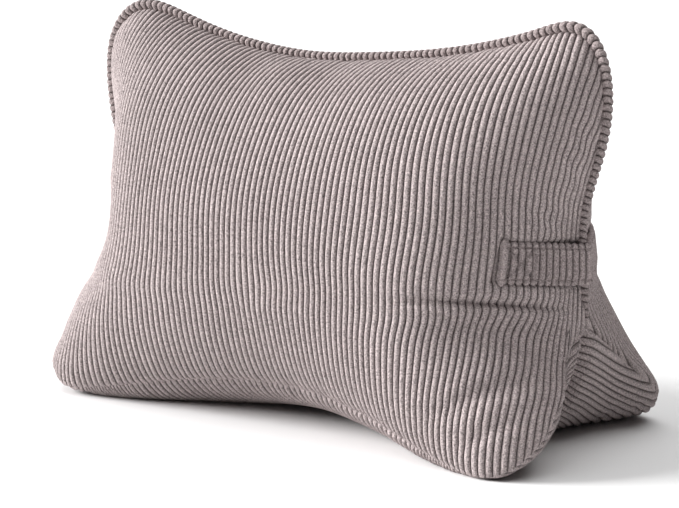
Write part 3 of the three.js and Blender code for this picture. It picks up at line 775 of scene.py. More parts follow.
# ---- corduroy on the cover
@dataclass(frozen=True)
class Rib:
    """The corduroy's rib: a rounded cord of pile between two narrow grooves."""

    # Least distance from the last rib's sample to the cloth's end.
    APART = 0.2

    height: float = 2.2
    roundness: float = 2.0
    fullness: float = 0.6
    samples: tuple[float, ...] = (0, 0.04, 0.12, 0.27, 0.5, 0.73, 0.88, 0.96)

    def profile(self, phase: Array) -> Array:
        """Returns the rib's height where phase runs from 0 at one groove to 1 at the next."""
        side = off_crest(phase)
        return self.height * np.maximum(1 - side**self.roundness, 0) ** self.fullness

    def stations(self, end: float) -> Array:
        """Samples all ribs of a cloth.

        Args:
            end: half the cloth's length.

        Returns:
            Places from -end to end, with both ends.
        """
        number = int(2 * end / RIB_PITCH) + 3
        grooves = FIRST_GROOVE + RIB_PITCH * (np.arange(number) - number // 2)
        places = (grooves[:, None] + RIB_PITCH * np.array(self.samples)).ravel()
        inside = places[np.abs(places) < end - self.APART]
        return np.concatenate([[-end], inside, [end]])


@dataclass(frozen=True)
class Trough:
    """A soft crease pressed into a panel, between two points of its flat cloth.

    A depth below 0 makes a swelling of it. The lip is the share of the depth to which the cloth
    rises again beside it, and tight narrows its lower side.
    """

    # Share of its length by which a crease runs out beyond each end, how quickly it fades there,
    # and the lip's width as a multiple of the crease's.
    RUN_OUT = 0.15
    FADE_POWER = 1.2
    LIP_WIDTH = 2.6

    start: tuple[float, float]
    end: tuple[float, float]
    depth: float
    width: float
    lip: float = 0.5
    tight: float = 1.0

    def relief(self, x: Array, y: Array) -> Array:
        """Gives the crease's height at points of the flat cloth.

        The crease is a bell curve across its line, with a lower raised lip on both its sides, and
        it fades out towards both ends as a sine. Its lower side may be tighter than its upper.

        Args:
            x: distance along the pillow.
            y: distance from the waist row.

        Returns:
            The height, below 0 in the crease.
        """
        start, end = np.array(self.start), np.array(self.end)
        run = end - start
        share = ((x - start[0]) * run[0] + (y - start[1]) * run[1]) / (run @ run)
        off = ((x - start[0]) * run[1] - (y - start[1]) * run[0]) / np.linalg.norm(run)
        place = np.clip((share + self.RUN_OUT) / (1 + 2 * self.RUN_OUT), 0, 1)
        fade = np.sin(np.pi * place) ** self.FADE_POWER
        near = bell(off / (self.width * np.where(off > 0, self.tight, 1)))
        far = bell(off / (self.LIP_WIDTH * self.width))
        return fade * self.depth * (self.lip * far - (1 + self.lip) * near)


class Panel(Enum):
    """The three cloth panels: the leaf below the waist row, the leaf above it, and the creases.

    The front's last four creases are the cloth drawn in at the left-hand end.
    """

    FRONT = (
        Leaf.FRONT_FOOT,
        Leaf.FRONT_TOP,
        (
            Trough((128, -2.0), (236, 10), 4.6, 5.2, 0.5, 0.4),
            Trough((150, -84), (232, -46), 3.0, 6.0),
            Trough((178, -104), (214, -84), 2.4, 4.5, 0.6),
            Trough((-210, 20), (-214, 168), 10.5, 42, 0),
            Trough((-206, 5), (-206, 60), 8.0, 36, 0),
            Trough((-226, -46), (-226, -6), -4.6, 36, 0),
            Trough((-234, -90), (-234, -58), 3.0, 30, 0),
        ),
    )
    BASE = (
        Leaf.BASE_BACK,
        Leaf.BASE_FRONT,
        (
            Trough((300, 0), (190, 0), 10.0, 5.0, 0.15),
            Trough((-300, 0), (-190, 0), 10.0, 5.0, 0.15),
            Trough((206, -72), (246, -78), 1.6, 3.5),
            Trough((212, -90), (254, -97), 2.0, 3.5),
            Trough((218, -106), (258, -114), 1.6, 3.5),
        ),
    )
    BACK = (Leaf.BACK_TOP, Leaf.BACK_FOOT, (Trough((140, 4), (262, -8), 1.5, 7.0),))

    def __init__(self, lower: Leaf, upper: Leaf, troughs: tuple[Trough, ...]) -> None:
        """Names the panel's values."""
        self.lower, self.upper, self.troughs = lower, upper, troughs


@dataclass
class CoverSheet:
    """A panel's fine grid, before its relief."""

    points: Array
    normals: Array
    along: Array
    across: Array
    to_seam: Array
    flat_along: Array


@dataclass(frozen=True)
class Area:
    """A soft oval area of the front, by its middle and its reach on the flat cloth."""

    along: float
    above: float
    reach_along: float
    reach_above: float

    def share(self, along: Array, above: Array) -> Array:
        """Returns 1 in the area's middle, falling off as a bell curve both ways."""
        x, y = (along - self.along) / self.reach_along, (above - self.above) / self.reach_above
        return np.exp(-(x * x) - y * y)


@dataclass(frozen=True)
class Drift(Area):
    """An area in which the ribs have shifted along the pillow.

    A shift below 0 leaves fewer ribs between the area and the pillow's middle.
    """

    shift: float

    def at(self, along: Array, above: Array) -> Array:
        """Returns the shift at places of the flat cloth."""
        return self.shift * self.share(along, above)


@dataclass(frozen=True)
class Ripple(Area):
    """An area where the sewing makes the ribs wave from side to side."""

    # Distance along the pillow over which the wave moves on by one radian.
    LEAN = 9.0

    swing: float
    length: float

    def at(self, along: Array, above: Array) -> Array:
        """Returns the sideways shift, a sine wave up the ribs."""
        wave = np.sin(2 * np.pi * above / self.length + along / self.LEAN)
        return self.swing * wave * self.share(along, above)


@dataclass
class CorduroyCover:
    """The pillow's cover with its ribs, seams and creases."""

    # Samples by which a seam is measured, stations taken from each end edge, the least distance
    # between two stations, and the reach of a panel's fit to its seams.
    SEAM_SAMPLES = 4000
    END_STATIONS = 18
    LEAST_STEP = 0.02
    FIT_REACH = 14.0
    # Share of its relief that the cloth loses under the strap.
    HELD = 0.9

    filled: FilledCover
    handle: "StrapHandle"
    rib: Rib = Rib()
    # The grid: its steps, and how far the short ones reach from the waist row.
    step: float = 5.0
    seam_steps: tuple[float, ...] = (0, 0.7, 1.5, 2.5, 3.8, 5.5, 7.7, 10.5, 14)
    waist_step: float = 1.8
    waist_reach: float = 26.0
    seam_spacing: float = 1.1
    # The cloth's relief. Near a seam it swells and puckers, and the ribs rise over rib_fade; all
    # else rises over relief_fade.
    rib_fade: tuple[float, float] = (-0.5, 4.2)
    relief_fade: tuple[float, float] = (0.0, 12.0)
    plump: float = 1.8
    plump_reach: float = 9.0
    pucker: float = 0.55
    pucker_reach: float = 6.0
    sway: float = 0.35
    unevenness: float = 0.45
    # How far the strap presses the cloth in, and the width of its fade beside the strap.
    pressed: float = 0.9
    pressed_fade: tuple[float, float] = (0.5, 4.5)
    # How the ribs lean on the front foot, and from where at each end.
    foot_lean: float = 0.85
    foot_lean_from: tuple[float, float] = (140.0, 235.0)
    edge_from: float = 190.0
    ripples: tuple[Ripple, ...] = (
        Ripple(243, 122, 17, 38, 1.5, 25),
        Ripple(222, 72, 15, 14, 1.2, 19),
        Ripple(128, 192, 60, 12, 0.7, 15),
        Ripple(-224, -84, 18, 24, 1.7, 19),
    )
    drifts: tuple[Drift, ...] = (
        Drift(3, -20, 120, 62, -7.5),
        Drift(250, 2, 69, 44, -12),
        Drift(151, 215, 120, 47, -7),
        Drift(-150, 67, 61, 41, -9.7),
        Drift(159, 113, 120, 63, 4.2),
        Drift(245, -1, 55, 31, -5.6),
        Drift(189, -104, 46, 60, 3.4),
        Drift(-121, -122, 45, 55, -5.3),
    )
    # The base's ribs lean with the height of its cloth: the slope at the floor, and its rise.
    valley_slope: dict[Leaf, tuple[float, float]] = field(
        default_factory=lambda: {Leaf.BASE_FRONT: (0.25, 0.15), Leaf.BASE_BACK: (0.4, 0.15)}
    )
    valley_from: tuple[float, float] = (140.0, 212.0)
    valley_shift: float = 48.0

    def build(self) -> bpy.types.Object:
        """Makes the cover's mesh: every panel's ribbed grid, joined along the seams.

        Returns:
            The cover's object.
        """
        self.x = self._stations()
        patches = []
        for panel in Panel:
            sheet = self._sheet(panel)
            points = self._dressed(sheet, panel)
            cloth = np.stack([sheet.along - FIRST_GROOVE, sheet.across], -1) / RIB_PITCH
            patches.append(grid_patch(points[:, 1:-1], cloth[:, 1:-1]))
            for leaf, row, seam in ((panel.lower, 1, 0), (panel.upper, -2, -1)):
                sewn = self._sewn(leaf, points[:, row], cloth[:, row], cloth[:, seam])
                if leaf is panel.lower:
                    sewn.faces = sewn.faces[:, ::-1]
                patches.append(sewn)
        return ClothMesh("cover", patches).object

    def _sewn(self, leaf: Leaf, row: Array, row_cloth: Array, seam_cloth: Array) -> Patch:
        """Joins a panel's last row to the seam's own vertices.

        The row and the seam are walked together, and every step of either makes a triangle with
        the other's current vertex.

        Args:
            leaf: the leaf that ends at the seam.
            row: the panel's points next to the seam, one for each station.
            row_cloth: their places on the cloth.
            seam_cloth: places on the cloth where the stations meet the seam.

        Returns:
            The strip of triangles, facing outwards where the seam is the panel's upper one.
        """
        row_place = self.seam_line(leaf)[0]
        seam_place, seam = self._seam_vertices(leaf)
        row_time = (row_place[1:] + row_place[:-1]) / 2
        seam_time = (seam_place[1:] + seam_place[:-1]) / 2
        i, j = np.arange(len(row_time)), np.arange(len(seam_time))
        beside_row = np.searchsorted(seam_time, row_time) + len(row)
        beside_seam = np.searchsorted(row_time, seam_time, side="right")
        from_row = np.stack([i, i + 1, beside_row], -1)
        from_seam = np.stack([beside_seam, j + 1 + len(row), j + len(row)], -1)
        faces = np.concatenate([from_row, from_seam])
        cloth = np.stack([np.interp(seam_place, row_place, seam_cloth[:, k]) for k in range(2)], -1)
        return Patch(np.concatenate([row, seam]), faces, np.concatenate([row_cloth, cloth]))

    def _seam_vertices(self, leaf: Leaf) -> tuple[Array, Array]:
        """Spaces vertices evenly along a lobe's seam.

        Args:
            leaf: a leaf of the lobe.

        Returns:
            Their places in steps of the seam's net, and their points.
        """
        line = self.filled.position[self.filled.seam_vertices(leaf)]
        fine = np.linspace(0, len(line) - 1, self.SEAM_SAMPLES)
        lengths = lengths_along(spline_curve(line, fine))
        number = int(lengths[-1] / self.seam_spacing)
        place = np.interp(np.linspace(0, lengths[-1], number), lengths, fine)
        return place, spline_curve(line, place)

    def _cloth(self, leaf: Leaf) -> Array:
        """Lays the ribs out on a leaf's net.

        The ribs follow the flat cloth's distance along the pillow. Towards the ends of the base
        and the front foot they lean instead, so that they meet the end seam one after another.

        Args:
            leaf: the leaf.

        Returns:
            The ribs' distance along the pillow and the flat distance from the waist at each cell.
        """
        flat = self.filled.flat[leaf]
        cloth = flat.copy()
        half = self.filled.cut.waist_half_length
        share = np.linspace(-1, 1, self.filled.COLUMNS + 1)
        ends = ((0, share < 0), (-1, share > 0))
        for end, side in ends:
            waist = np.abs(share[side]) * half
            if leaf is Leaf.FRONT_FOOT:
                wanted = self._leaning(cloth, end, side)
                fade = ease(waist, *self.foot_lean_from)[:, None]
            elif leaf in self.valley_slope:
                wanted = self._chevron(leaf, side, waist)
                fade = ease(waist, *self.valley_from)[:, None]
            else:
                continue
            now = np.abs(cloth[side, :, 0])
            cloth[side, :, 0] += fade * (wanted - now) * np.sign(share[side])[:, None]
        if leaf in (Leaf.FRONT_TOP, Leaf.FRONT_FOOT):
            above = flat[..., 1] if leaf is Leaf.FRONT_TOP else -flat[..., 1]
            cloth[..., 0] += sum(drift.at(flat[..., 0], above) for drift in self.drifts)
        for end, side in ends:
            edge = np.abs(cloth[end, :, 0])
            excess = edge - np.minimum.accumulate(edge)
            fade = ease(np.abs(share[side]) * half, self.edge_from, half)[:, None]
            cloth[side, :, 0] -= fade * excess * np.sign(share[side])[:, None]
        return cloth

    def _leaning(self, cloth: Array, end: int, side: Array) -> Array:
        """Leans the front foot's ribs out at one end, by a share of their depth at its edge.

        Args:
            cloth: the foot's layout.
            end: the end's column.
            side: whether each column is at this end.

        Returns:
            The ribs' distances from the middle, without their sign.
        """
        edge = np.abs(cloth[end, :, 0])
        lean = self.filled.cut.waist_half_length - self.foot_lean * cloth[end, :, 1]
        return np.maximum(edge, lean) - edge + np.abs(cloth[side, :, 0])

    def _chevron(self, leaf: Leaf, side: Array, waist: Array) -> Array:
        """Gives the base's rib distances at one end, where the ribs run level under the belly.

        Args:
            leaf: one of the base's leaves.
            side: whether each column is at this end.
            waist: distance from the middle to those columns on the waist row.

        Returns:
            The distances from the middle, without their sign.
        """
        net = self.filled.net(leaf)[side]
        height = net[..., 2]
        low, rise = self.valley_slope[leaf]
        slope = low + rise * np.clip(height / height.max(), 0, 1)
        level = height + slope * np.abs(net[..., 1] - net[:, :1, 1])
        order = np.argsort(waist)
        wanted = np.interp(level, np.maximum.accumulate(height[order, 0]), waist[order])
        flat = np.abs(self.filled.flat[leaf, side, :, 0])
        return np.minimum(wanted, flat + self.valley_shift)

    def _seam_cloth(self, leaf: Leaf) -> Array:
        """Returns the ribs' layout along a lobe's seam."""
        cells = np.array(self.filled.seam_cells())
        return self._cloth(leaf)[cells[:, 0], cells[:, 1]]

    def _stations(self) -> Array:
        """Chooses the grid's columns: the ribs' samples, and more at the end edges.

        Returns:
            Their distances along the pillow.
        """
        x = self.rib.stations(self.filled.cut.waist_half_length)
        steps = np.linspace(0.4, self.filled.ROWS - 0.2, self.END_STATIONS)
        for leaf in (Leaf.FRONT_TOP, Leaf.FRONT_FOOT, Leaf.BACK_FOOT):
            cloth = self._seam_cloth(leaf)
            for place in (steps, len(cloth) - 1 - steps):
                x = np.concatenate([x, spline_curve(cloth, place)[:, 0]])
        x = np.sort(x)
        return x[np.concatenate([[True], np.diff(x) > self.LEAST_STEP])]

    def seam_line(self, leaf: Leaf) -> tuple[Array, Array]:
        """Finds where the stations meet a lobe's seam.

        Args:
            leaf: a leaf of the lobe.

        Returns:
            Places along the seam, in steps of its net, and the seam's points there.
        """
        cloth = self._seam_cloth(leaf)
        count = len(cloth) - 1

        def along_seam(share: Array) -> Array:
            """Returns the ribs' distance along the pillow at shares of the seam."""
            return spline_curve(cloth, share * count)[:, 0]

        place = bisect(along_seam, self.x) * count
        place[0], place[-1] = 0, count
        return place, spline_curve(self.filled.position[self.filled.seam_vertices(leaf)], place)

    def _shares(self, leaf: Leaf) -> Array:
        """Spaces the grid's rows, closer together near waist and seam.

        Args:
            leaf: the leaf.

        Returns:
            Their shares of the way from waist to seam.
        """
        depth = self.filled.cut.lobe(leaf).middle_depth
        seam = depth - np.array(self.seam_steps)[::-1]
        waist = np.arange(0, self.waist_reach, self.waist_step)
        number = int((seam[0] - self.waist_reach) / self.step)
        middle = np.linspace(self.waist_reach, seam[0], number + 1)[:-1]
        return np.concatenate([waist, middle, seam]) / depth

    def _ways_to_seam(self, leaf: Leaf) -> Array:
        """Follows each station from the waist to the seam.

        Args:
            leaf: the leaf.

        Returns:
            The rows of the net at the grid's shares of the way.
        """
        rows, columns = self.filled.ROWS, self.filled.COLUMNS
        place = self.seam_line(leaf)[0]
        reach = np.minimum(np.minimum(place, 2 * rows + columns - place), rows)
        return reach[:, None] * self._shares(leaf)

    def _sheet(self, panel: Panel) -> CoverSheet:
        """Works out a panel's smooth surface.

        It is the spline surface of the panel's net. A station is the line on it where the flat
        cloth's distance along the pillow stays the same, and it ends at the seams. Near them the
        surface is moved by what it lacks to the seam's own curve, fading away from the seam, so
        that panels meet exactly.

        Args:
            panel: the panel.

        Returns:
            Points, outward normals and flat coordinates.
        """
        rows, columns = self.filled.ROWS, self.filled.COLUMNS
        lower, upper = panel.lower, panel.upper

        def joined(low: Array, high: Array) -> Array:
            """Returns one net of the lower leaf, from its seam to the waist row, and the upper."""
            return np.concatenate([low[:, :0:-1], high], axis=1)

        row = joined(rows - self._ways_to_seam(lower), rows + self._ways_to_seam(upper))
        cloth = joined(self._cloth(lower) * [1, -1], self._cloth(upper))
        net = joined(self.filled.net(lower), self.filled.net(upper))
        flat = joined(self.filled.flat[lower], self.filled.flat[upper])[..., :1]

        def along_row(share: Array) -> Array:
            """Returns the ribs' distance along the pillow at shares of the net's columns."""
            return spline_surface(cloth[..., :1], share * columns, row)[..., 0]

        along = self.x[:, None] + 0 * row
        column = bisect(along_row, along, 20) * columns
        points = spline_surface(net, column, row)
        across = spline_surface(cloth[..., 1:], column, row)[..., 0]
        flat_along = spline_surface(flat, column, row)[..., 0]
        gaps = (across - across[:, :1], across[:, -1:] - across)
        seams = (self.seam_line(lower)[1], self.seam_line(upper)[1])
        pulls = [1 / (gap + 1e-3) ** 2 for gap in gaps]
        lacks = [(seam - points[:, end])[:, None] for seam, end in zip(seams, (0, -1))]
        lack = sum(pull[..., None] * lacking for pull, lacking in zip(pulls, lacks))
        lack /= (pulls[0] + pulls[1])[..., None]
        near = np.minimum(*gaps)
        points = points + lack * bell(near / self.FIT_REACH)[..., None]
        points[:, 0], points[:, -1] = seams
        points[0] = self.filled.position[self.filled.vertex[0, 0, 0]]
        points[-1] = self.filled.position[self.filled.vertex[0, -1, 0]]
        return CoverSheet(points, self._normals(points), along, across, near, flat_along)

    @staticmethod
    def _normals(points: Array) -> Array:
        """Works out a grid's normals: the cross product of its two tangents.

        Args:
            points: the grid.

        Returns:
            The outward directions.
        """
        along = np.gradient(points, axis=0)
        across = np.gradient(points, axis=1)
        normals = unit(np.cross(along, across))
        normals[:3], normals[-3:] = normals[3], normals[-4]
        return normals

    def _dressed(self, sheet: CoverSheet, panel: Panel) -> Array:
        """Lays ribs, seam swell, puckers, creases and soft unevenness on a panel.

        Args:
            sheet: the panel's smooth surface.
            panel: the panel.

        Returns:
            The finished points.
        """
        x, y, gap = sheet.along, sheet.across, sheet.to_seam
        inside = ease(gap, *self.relief_fade)
        tangent = unit(np.gradient(sheet.points, axis=0))
        sideways = self.sway * self._sway_wave(x, y)
        if panel is Panel.FRONT:
            sideways = sideways + sum(ripple.at(x, y) for ripple in self.ripples)
        points = sheet.points + tangent * (sideways * inside)[..., None]
        relief = self.rib.profile((x - FIRST_GROOVE) / RIB_PITCH) * ease(gap, *self.rib_fade)
        relief += self.plump * (1 - bell(gap / self.plump_reach))
        from_seam = gap / self.pucker_reach
        relief += self.pucker * self._pucker_wave(x) * from_seam * np.exp(1 - from_seam)
        relief += self.unevenness * self._soft_wave(x, y) * inside
        for trough in panel.troughs:
            relief += trough.relief(x, y) * inside
        held = self._held(sheet, panel)
        relief = relief * (1 - held) - self.pressed * held
        points = points + sheet.normals * relief[..., None]
        seam = gap <= 1e-6
        points[seam] = sheet.points[seam]
        for end in (0, -1):
            points[end], points[:, end] = sheet.points[end], sheet.points[:, end]
        points[..., 2] = np.maximum(points[..., 2], 0)
        return points

    @staticmethod
    def _sway_wave(x: Array, y: Array) -> Array:
        """Returns the ribs' long uneven wave from side to side, from -1 to 1."""
        return np.sin(x / 31 + 0.9 * np.sin(y / 43)) * np.sin(y / 17 + 1.7 * np.sin(x / 53))

    @staticmethod
    def _pucker_wave(x: Array) -> Array:
        """Returns the uneven wave of the puckers along a seam, from -1 to 1."""
        return np.sin(x / 3.1 + 2.0 * np.sin(x / 23)) * np.sin(x / 7.7 + 0.6)

    @staticmethod
    def _soft_wave(x: Array, y: Array) -> Array:
        """Returns the filling's soft unevenness: broad swellings and some of half their size."""
        broad = np.sin(x / 37 + y / 61 + 1.1) * np.sin(y / 29 - x / 83)
        return broad + 0.6 * np.sin(x / 19 + 2.0) * np.sin(y / 23 + x / 47)

    def _held(self, sheet: CoverSheet, panel: Panel) -> Array:
        """Finds where the strap holds the cloth down, fading beside it.

        Args:
            sheet: the panel's smooth surface.
            panel: the panel.

        Returns:
            The share of its relief that the cloth loses.
        """
        if panel is Panel.BASE:
            return np.zeros_like(sheet.along)
        across = sheet.across if panel is Panel.FRONT else -sheet.across
        low, high = self.handle.edges(sheet.flat_along)
        near, far = self.pressed_fade
        inside = ease(across, low - far, low - near) * (1 - ease(across, high + near, high + far))
        start = self.handle.sewn_along
        return self.HELD * inside * ease(sheet.flat_along, start - 5.0, start - 1.0)


# ---- welt
@dataclass
class Welt:
    """The cloth-covered cord along the upper lobe's seam, ribbed across like a row of beads."""

    # Samples of a seam's step, the small step of its tangent, and the taper over which the beads
    # begin to slant and to deepen at each end.
    FINENESS = 24
    SMALL_STEP = 0.02
    SLANT_FROM = (0.0, 12.0)
    BEADS_FROM = (1.0, 4.0)

    filled: FilledCover
    radius: float = 3.6
    end_radius: float = 2.4
    taper: float = 22.0
    tucked: float = 6.0
    # How far the cord stands off the seam and forward of it, and prouder beside the two horns.
    gap: float = 0.3
    forward: float = 1.3
    proud: float = 0.9
    proud_at: float = 100.0
    proud_reach: float = 45.0
    # Share by which the cord is thicker at its sewn side.
    root: float = 0.5
    facing_passes: int = 3
    bead_pitch: float = 5.4
    bead_depth: float = 1.9
    slant: float = 1.4
    sides: int = 16
    samples: tuple[float, ...] = (0, 0.07, 0.2, 0.4, 0.6, 0.8, 0.93)

    def build(self) -> bpy.types.Object:
        """Makes the welt's mesh.

        A ring of the cord is a circle about the seam's curve, thicker towards the seam and tilted
        a little so that its beads slant. Its radius follows the bead's round profile and shrinks
        to a point at both ends.

        Returns:
            The welt's object.
        """
        steps, lengths = self._lengths()
        total = lengths[-1]
        number = int(total / self.bead_pitch) + 1
        beads = (np.arange(number)[:, None] + np.array(self.samples)).ravel()
        along = with_round_ends(beads * self.bead_pitch, total, self.end_radius, 0.3)[:, None]
        angle = np.linspace(0, 2 * np.pi, self.sides, endpoint=False)[None, :]
        from_end = np.minimum(along, total - along)
        tilt = self.slant * np.sin(angle) * ease(from_end, *self.SLANT_FROM)
        centre, up, sideways, radius = self._frame(np.interp(along + tilt, lengths, steps))
        phase = along / self.bead_pitch
        bead = self.bead_depth * (1 - np.sqrt(np.maximum(1 - off_crest(phase) ** 2, 0)))
        bead = bead * ease(from_end, *self.BEADS_FROM)
        root = 1 + self.root * np.maximum(-np.cos(angle), 0) ** 4
        size = ((radius - bead) * root * end_round(from_end, self.end_radius))[..., None]
        spoke = up * np.cos(angle)[..., None] + sideways * np.sin(angle)[..., None]
        points = centre + spoke * size
        cloth = np.stack([phase + 0 * angle, angle * self.radius / self.bead_pitch + 0 * phase], -1)
        return ClothMesh("welt", [grid_patch(points, cloth, closed=True)]).object

    def _line(self) -> tuple[Array, Array]:
        """Works out the line that the cord follows.

        Returns:
            The seam's points, and the way the cord faces there.
        """
        vertices = self.filled.seam_vertices(Leaf.FRONT_TOP)
        outward = self.filled.normals()[vertices]
        outward[0], outward[-1] = outward[1], outward[-2]
        for _ in range(self.facing_passes):
            before = np.concatenate([outward[:1], outward[:-1]])
            after = np.concatenate([outward[1:], outward[-1:]])
            outward = unit(2 * outward + before + after)
        return self.filled.position[vertices], outward

    def _lengths(self) -> tuple[Array, Array]:
        """Measures the cord.

        Returns:
            Fine places along the seam, in its steps, and the cord's length up to each.
        """
        line = self._line()[0]
        count = len(line) - 1
        steps = np.linspace(0, count, count * self.FINENESS + 1)
        lengths = lengths_along(spline_curve(line, steps))
        shown = (lengths > self.tucked) & (lengths < lengths[-1] - self.tucked)
        return steps[shown], (lengths - self.tucked)[shown]

    def _frame(self, place: Array) -> tuple[Array, Array, Array, Array]:
        """Works out the cord's middle line.

        Args:
            place: places along the seam, in its steps.

        Returns:
            The middle, the outward and the sideways direction, and the radius, at each place.
        """
        points, outward = self._line()
        last = len(points) - 1
        ahead = spline_curve(points, np.minimum(place + self.SMALL_STEP, last))
        tangent = unit(ahead - spline_curve(points, np.maximum(place - self.SMALL_STEP, 0)))
        sideways = unit(np.cross(spline_curve(outward, place), tangent))
        up = unit(np.cross(tangent, sideways))
        steps, lengths = self._lengths()
        along = np.interp(place, steps, lengths)
        from_end = np.minimum(along, lengths[-1] - along)
        tuck = ease(from_end, 0, self.taper)
        radius = self.end_radius + (self.radius - self.end_radius) * tuck
        raised = self.proud * bell((from_end - self.proud_at) / self.proud_reach)
        centre = spline_curve(points, place) + up * (radius + self.gap + raised)[..., None]
        centre = centre - sideways * (self.forward * tuck)[..., None]
        return centre, up, sideways, radius


# ---- strap handle
@dataclass
class StrapHandle:
    """The strap drawn tight over the front, the welt and the back at the right-hand end."""

    # The taut line: its samples, the width of its smoothing, the distance behind the welt over
    # which it begins to sink, and the passes that even the lanes. Then the fade of the relief at
    # the strap's ends, and round its edges by the cosine of their turn.
    LINE_SAMPLES = 500
    SMOOTHING = 61
    SINK_FROM = (0.0, 6.0)
    LANE_PASSES = 6
    END_FADE = (0.2, 1.8)
    EDGE_FADE = (-0.75, 0.1)
    NO_HEIGHT = -1e9
    # Distances of the upper side's close points from its edges.
    EDGE_RINGS = (0, 0.8, 1.2, 1.6, 2.1, 2.8, 4.5)

    filled: FilledCover
    welt: Welt
    thickness: float = 2.6
    # Gaps to the cover and to the welt, the back end's drop, and how tightly the strap lies in
    # the hollow behind the welt.
    gap: float = 0.9
    welt_gap: float = 0.3
    back_drop: float = 11.0
    hug: float = 0.3
    most_slack: float = 2.5
    # Where the strap lies on the flat cloth: its sewn end, and its two edges there and at the seam.
    width: float = 27.0
    sewn_along: float = 190.5
    sewn_slant: float = 4.5
    sewn_across: tuple[float, float] = (23.5, 50.0)
    seam_across: tuple[float, float] = (30.5, 57.5)
    # Its net: lanes across, steps along, and the distance between the points it has to clear.
    lanes: int = 9
    steps: int = 150
    sample_step: float = 3.0
    rib: Rib = Rib(2.4, 2.0, 0.7)
    rib_pitch: float = 6.0
    # The turned-in end: its length, its height and the steps of its rings.
    fold: float = 5.0
    fold_height: float = 1.6
    fold_step: float = 0.8
    # The sewn lines along both edges, and the box with its cross and its soft swelling.
    seam_inset: float = 1.9
    edge_depth: float = 0.35
    seam_depth: float = 1.3
    seam_width: float = 0.8
    seam_hold: float = 0.7
    box_start: float = 6.0
    box_length: float = 21.5
    box_puff: float = 0.35

    def edges(self, along: Array) -> tuple[Array, Array]:
        """Finds the strap's two edges on the flat cloth.

        Args:
            along: distances along the pillow.

        Returns:
            The lower and the upper edge's distance from the waist.
        """
        flat = self.filled.flat[Leaf.FRONT_TOP, -1]
        seam_along = np.interp(np.mean(self.seam_across), flat[:, 1], flat[:, 0])
        share = (along - self.sewn_along) / (seam_along - self.sewn_along)
        pairs = zip(self.sewn_across, self.seam_across)
        low, high = (sewn + (seam - sewn) * share for sewn, seam in pairs)
        return low, high

    def build(self) -> list[bpy.types.Object]:
        """Makes the strap and its stitches.

        Returns:
            The strap's object and the stitches' object.
        """
        self.net = self._net()
        along = self._stations()[:, None]
        across, lift, turn = (values[None, :] for values in self._profile())
        from_end = np.minimum(along, self.length - along)
        half = self.thickness / 2
        height = half + (lift - half) * end_round(from_end, half)
        place, normal, sideways = self._surface(along, across)
        outward = normal * np.cos(turn)[..., None] + sideways * np.sin(turn)[..., None]
        relief = self._relief(along, across) * ease(np.cos(turn), *self.EDGE_FADE)
        relief = relief * ease(from_end, *self.END_FADE)
        points = place + normal * height[..., None] + outward * relief[..., None]
        up = (across + lift) / RIB_PITCH
        cloth = np.stack([self._phase(along) + 0 * across, up + 0 * along], -1)
        strap = ClothMesh("strap_handle", [grid_patch(points, cloth, closed=True)]).object
        return [strap, self._stitches()]

    def _stations(self) -> Array:
        """Spaces the strap's rings: its ribs' samples, the fold's and the round ends'.

        Returns:
            Their distances along the strap.
        """
        half = self.thickness / 2
        number = int(self.length / self.rib_pitch) + 1
        ribs = (np.arange(number)[:, None] + np.array(self.rib.samples)).ravel()
        ribbed = self.fold + (ribs - 0.5) * self.rib_pitch
        folded = np.arange(half + self.fold_step, self.fold, self.fold_step)
        inner = np.concatenate([folded, ribbed[ribbed >= self.fold]])
        return with_round_ends(inner, self.length, half, 0.2)

    def _profile(self) -> tuple[Array, Array, Array]:
        """Gives the strap's cross-section, a flat oblong with half-round edges.

        Returns:
            Distance across the strap, height above its inner side, and the outward direction's
            turn from straight up, for points round the section.
        """
        half = self.thickness / 2
        close = np.array(self.EDGE_RINGS)
        top_width = self.width - self.thickness
        middle = np.linspace(close[-1], top_width - close[-1], 8)[1:-1]
        top = half + np.concatenate([close, middle, top_width - close[::-1]])
        bend = np.linspace(0, np.pi, 8)[1:-1]
        under = np.linspace(self.width - half, half, 6)
        side, rise = half * np.sin(bend), half * np.cos(bend)
        across = np.concatenate([top, self.width - half + side, under, half - side])
        lift = np.concatenate([0 * top + self.thickness, half + rise, 0 * under, half - rise])
        turn = np.concatenate([0 * top, bend, 0 * under + np.pi, -bend[::-1]])
        return across, lift, turn

    def _relief(self, along: Array, across: Array) -> Array:
        """Gives the height of ribs and sewn lines over the strap's plain surface.

        A sewn line is a narrow bell-shaped groove that also holds the ribs down beside it: shallow
        along both edges, and deep round the box and over its cross.

        Args:
            along: distance along the strap.
            across: distance across it.

        Returns:
            The height.
        """
        inset = np.minimum(across, self.width - across) - self.seam_inset
        edge = bell(inset / self.seam_width)
        start, end = self.box_start, self.box_start + self.box_length
        between = ease(inset, -0.5, 0.5)
        inside = ease(along, start - 1, start) * (1 - ease(along, end, end + 1)) * between
        slope = (self.width - 2 * self.seam_inset) / self.box_length
        tilt = math.hypot(1, slope)
        off_middle = across - self.width / 2
        box = np.zeros_like(edge + along)
        for sign in (1, -1):
            off = (off_middle - sign * slope * (along - start - self.box_length / 2)) / tilt
            box = np.maximum(box, inside * bell(off / self.seam_width))
        for line in (start, end):
            box = np.maximum(box, between * bell((along - line) / self.seam_width))
        sunk = np.maximum(self.edge_depth * edge, self.seam_depth * box)
        puff = self.box_puff * inside * np.cos(2 * np.pi * off_middle / self.width)
        roll = self.fold_height * (1 - ease(along, self.fold - 1.5, self.fold + 0.8))
        rib = self.rib.profile(self._phase(along))
        return rib * (1 - self.seam_hold * np.maximum(edge, box)) - sunk + puff + roll

    def _phase(self, along: Array) -> Array:
        """Returns the rib count up to a distance along the strap; the turned end has no ribs."""
        return 0.5 + np.maximum(along - self.fold, 0) / self.rib_pitch

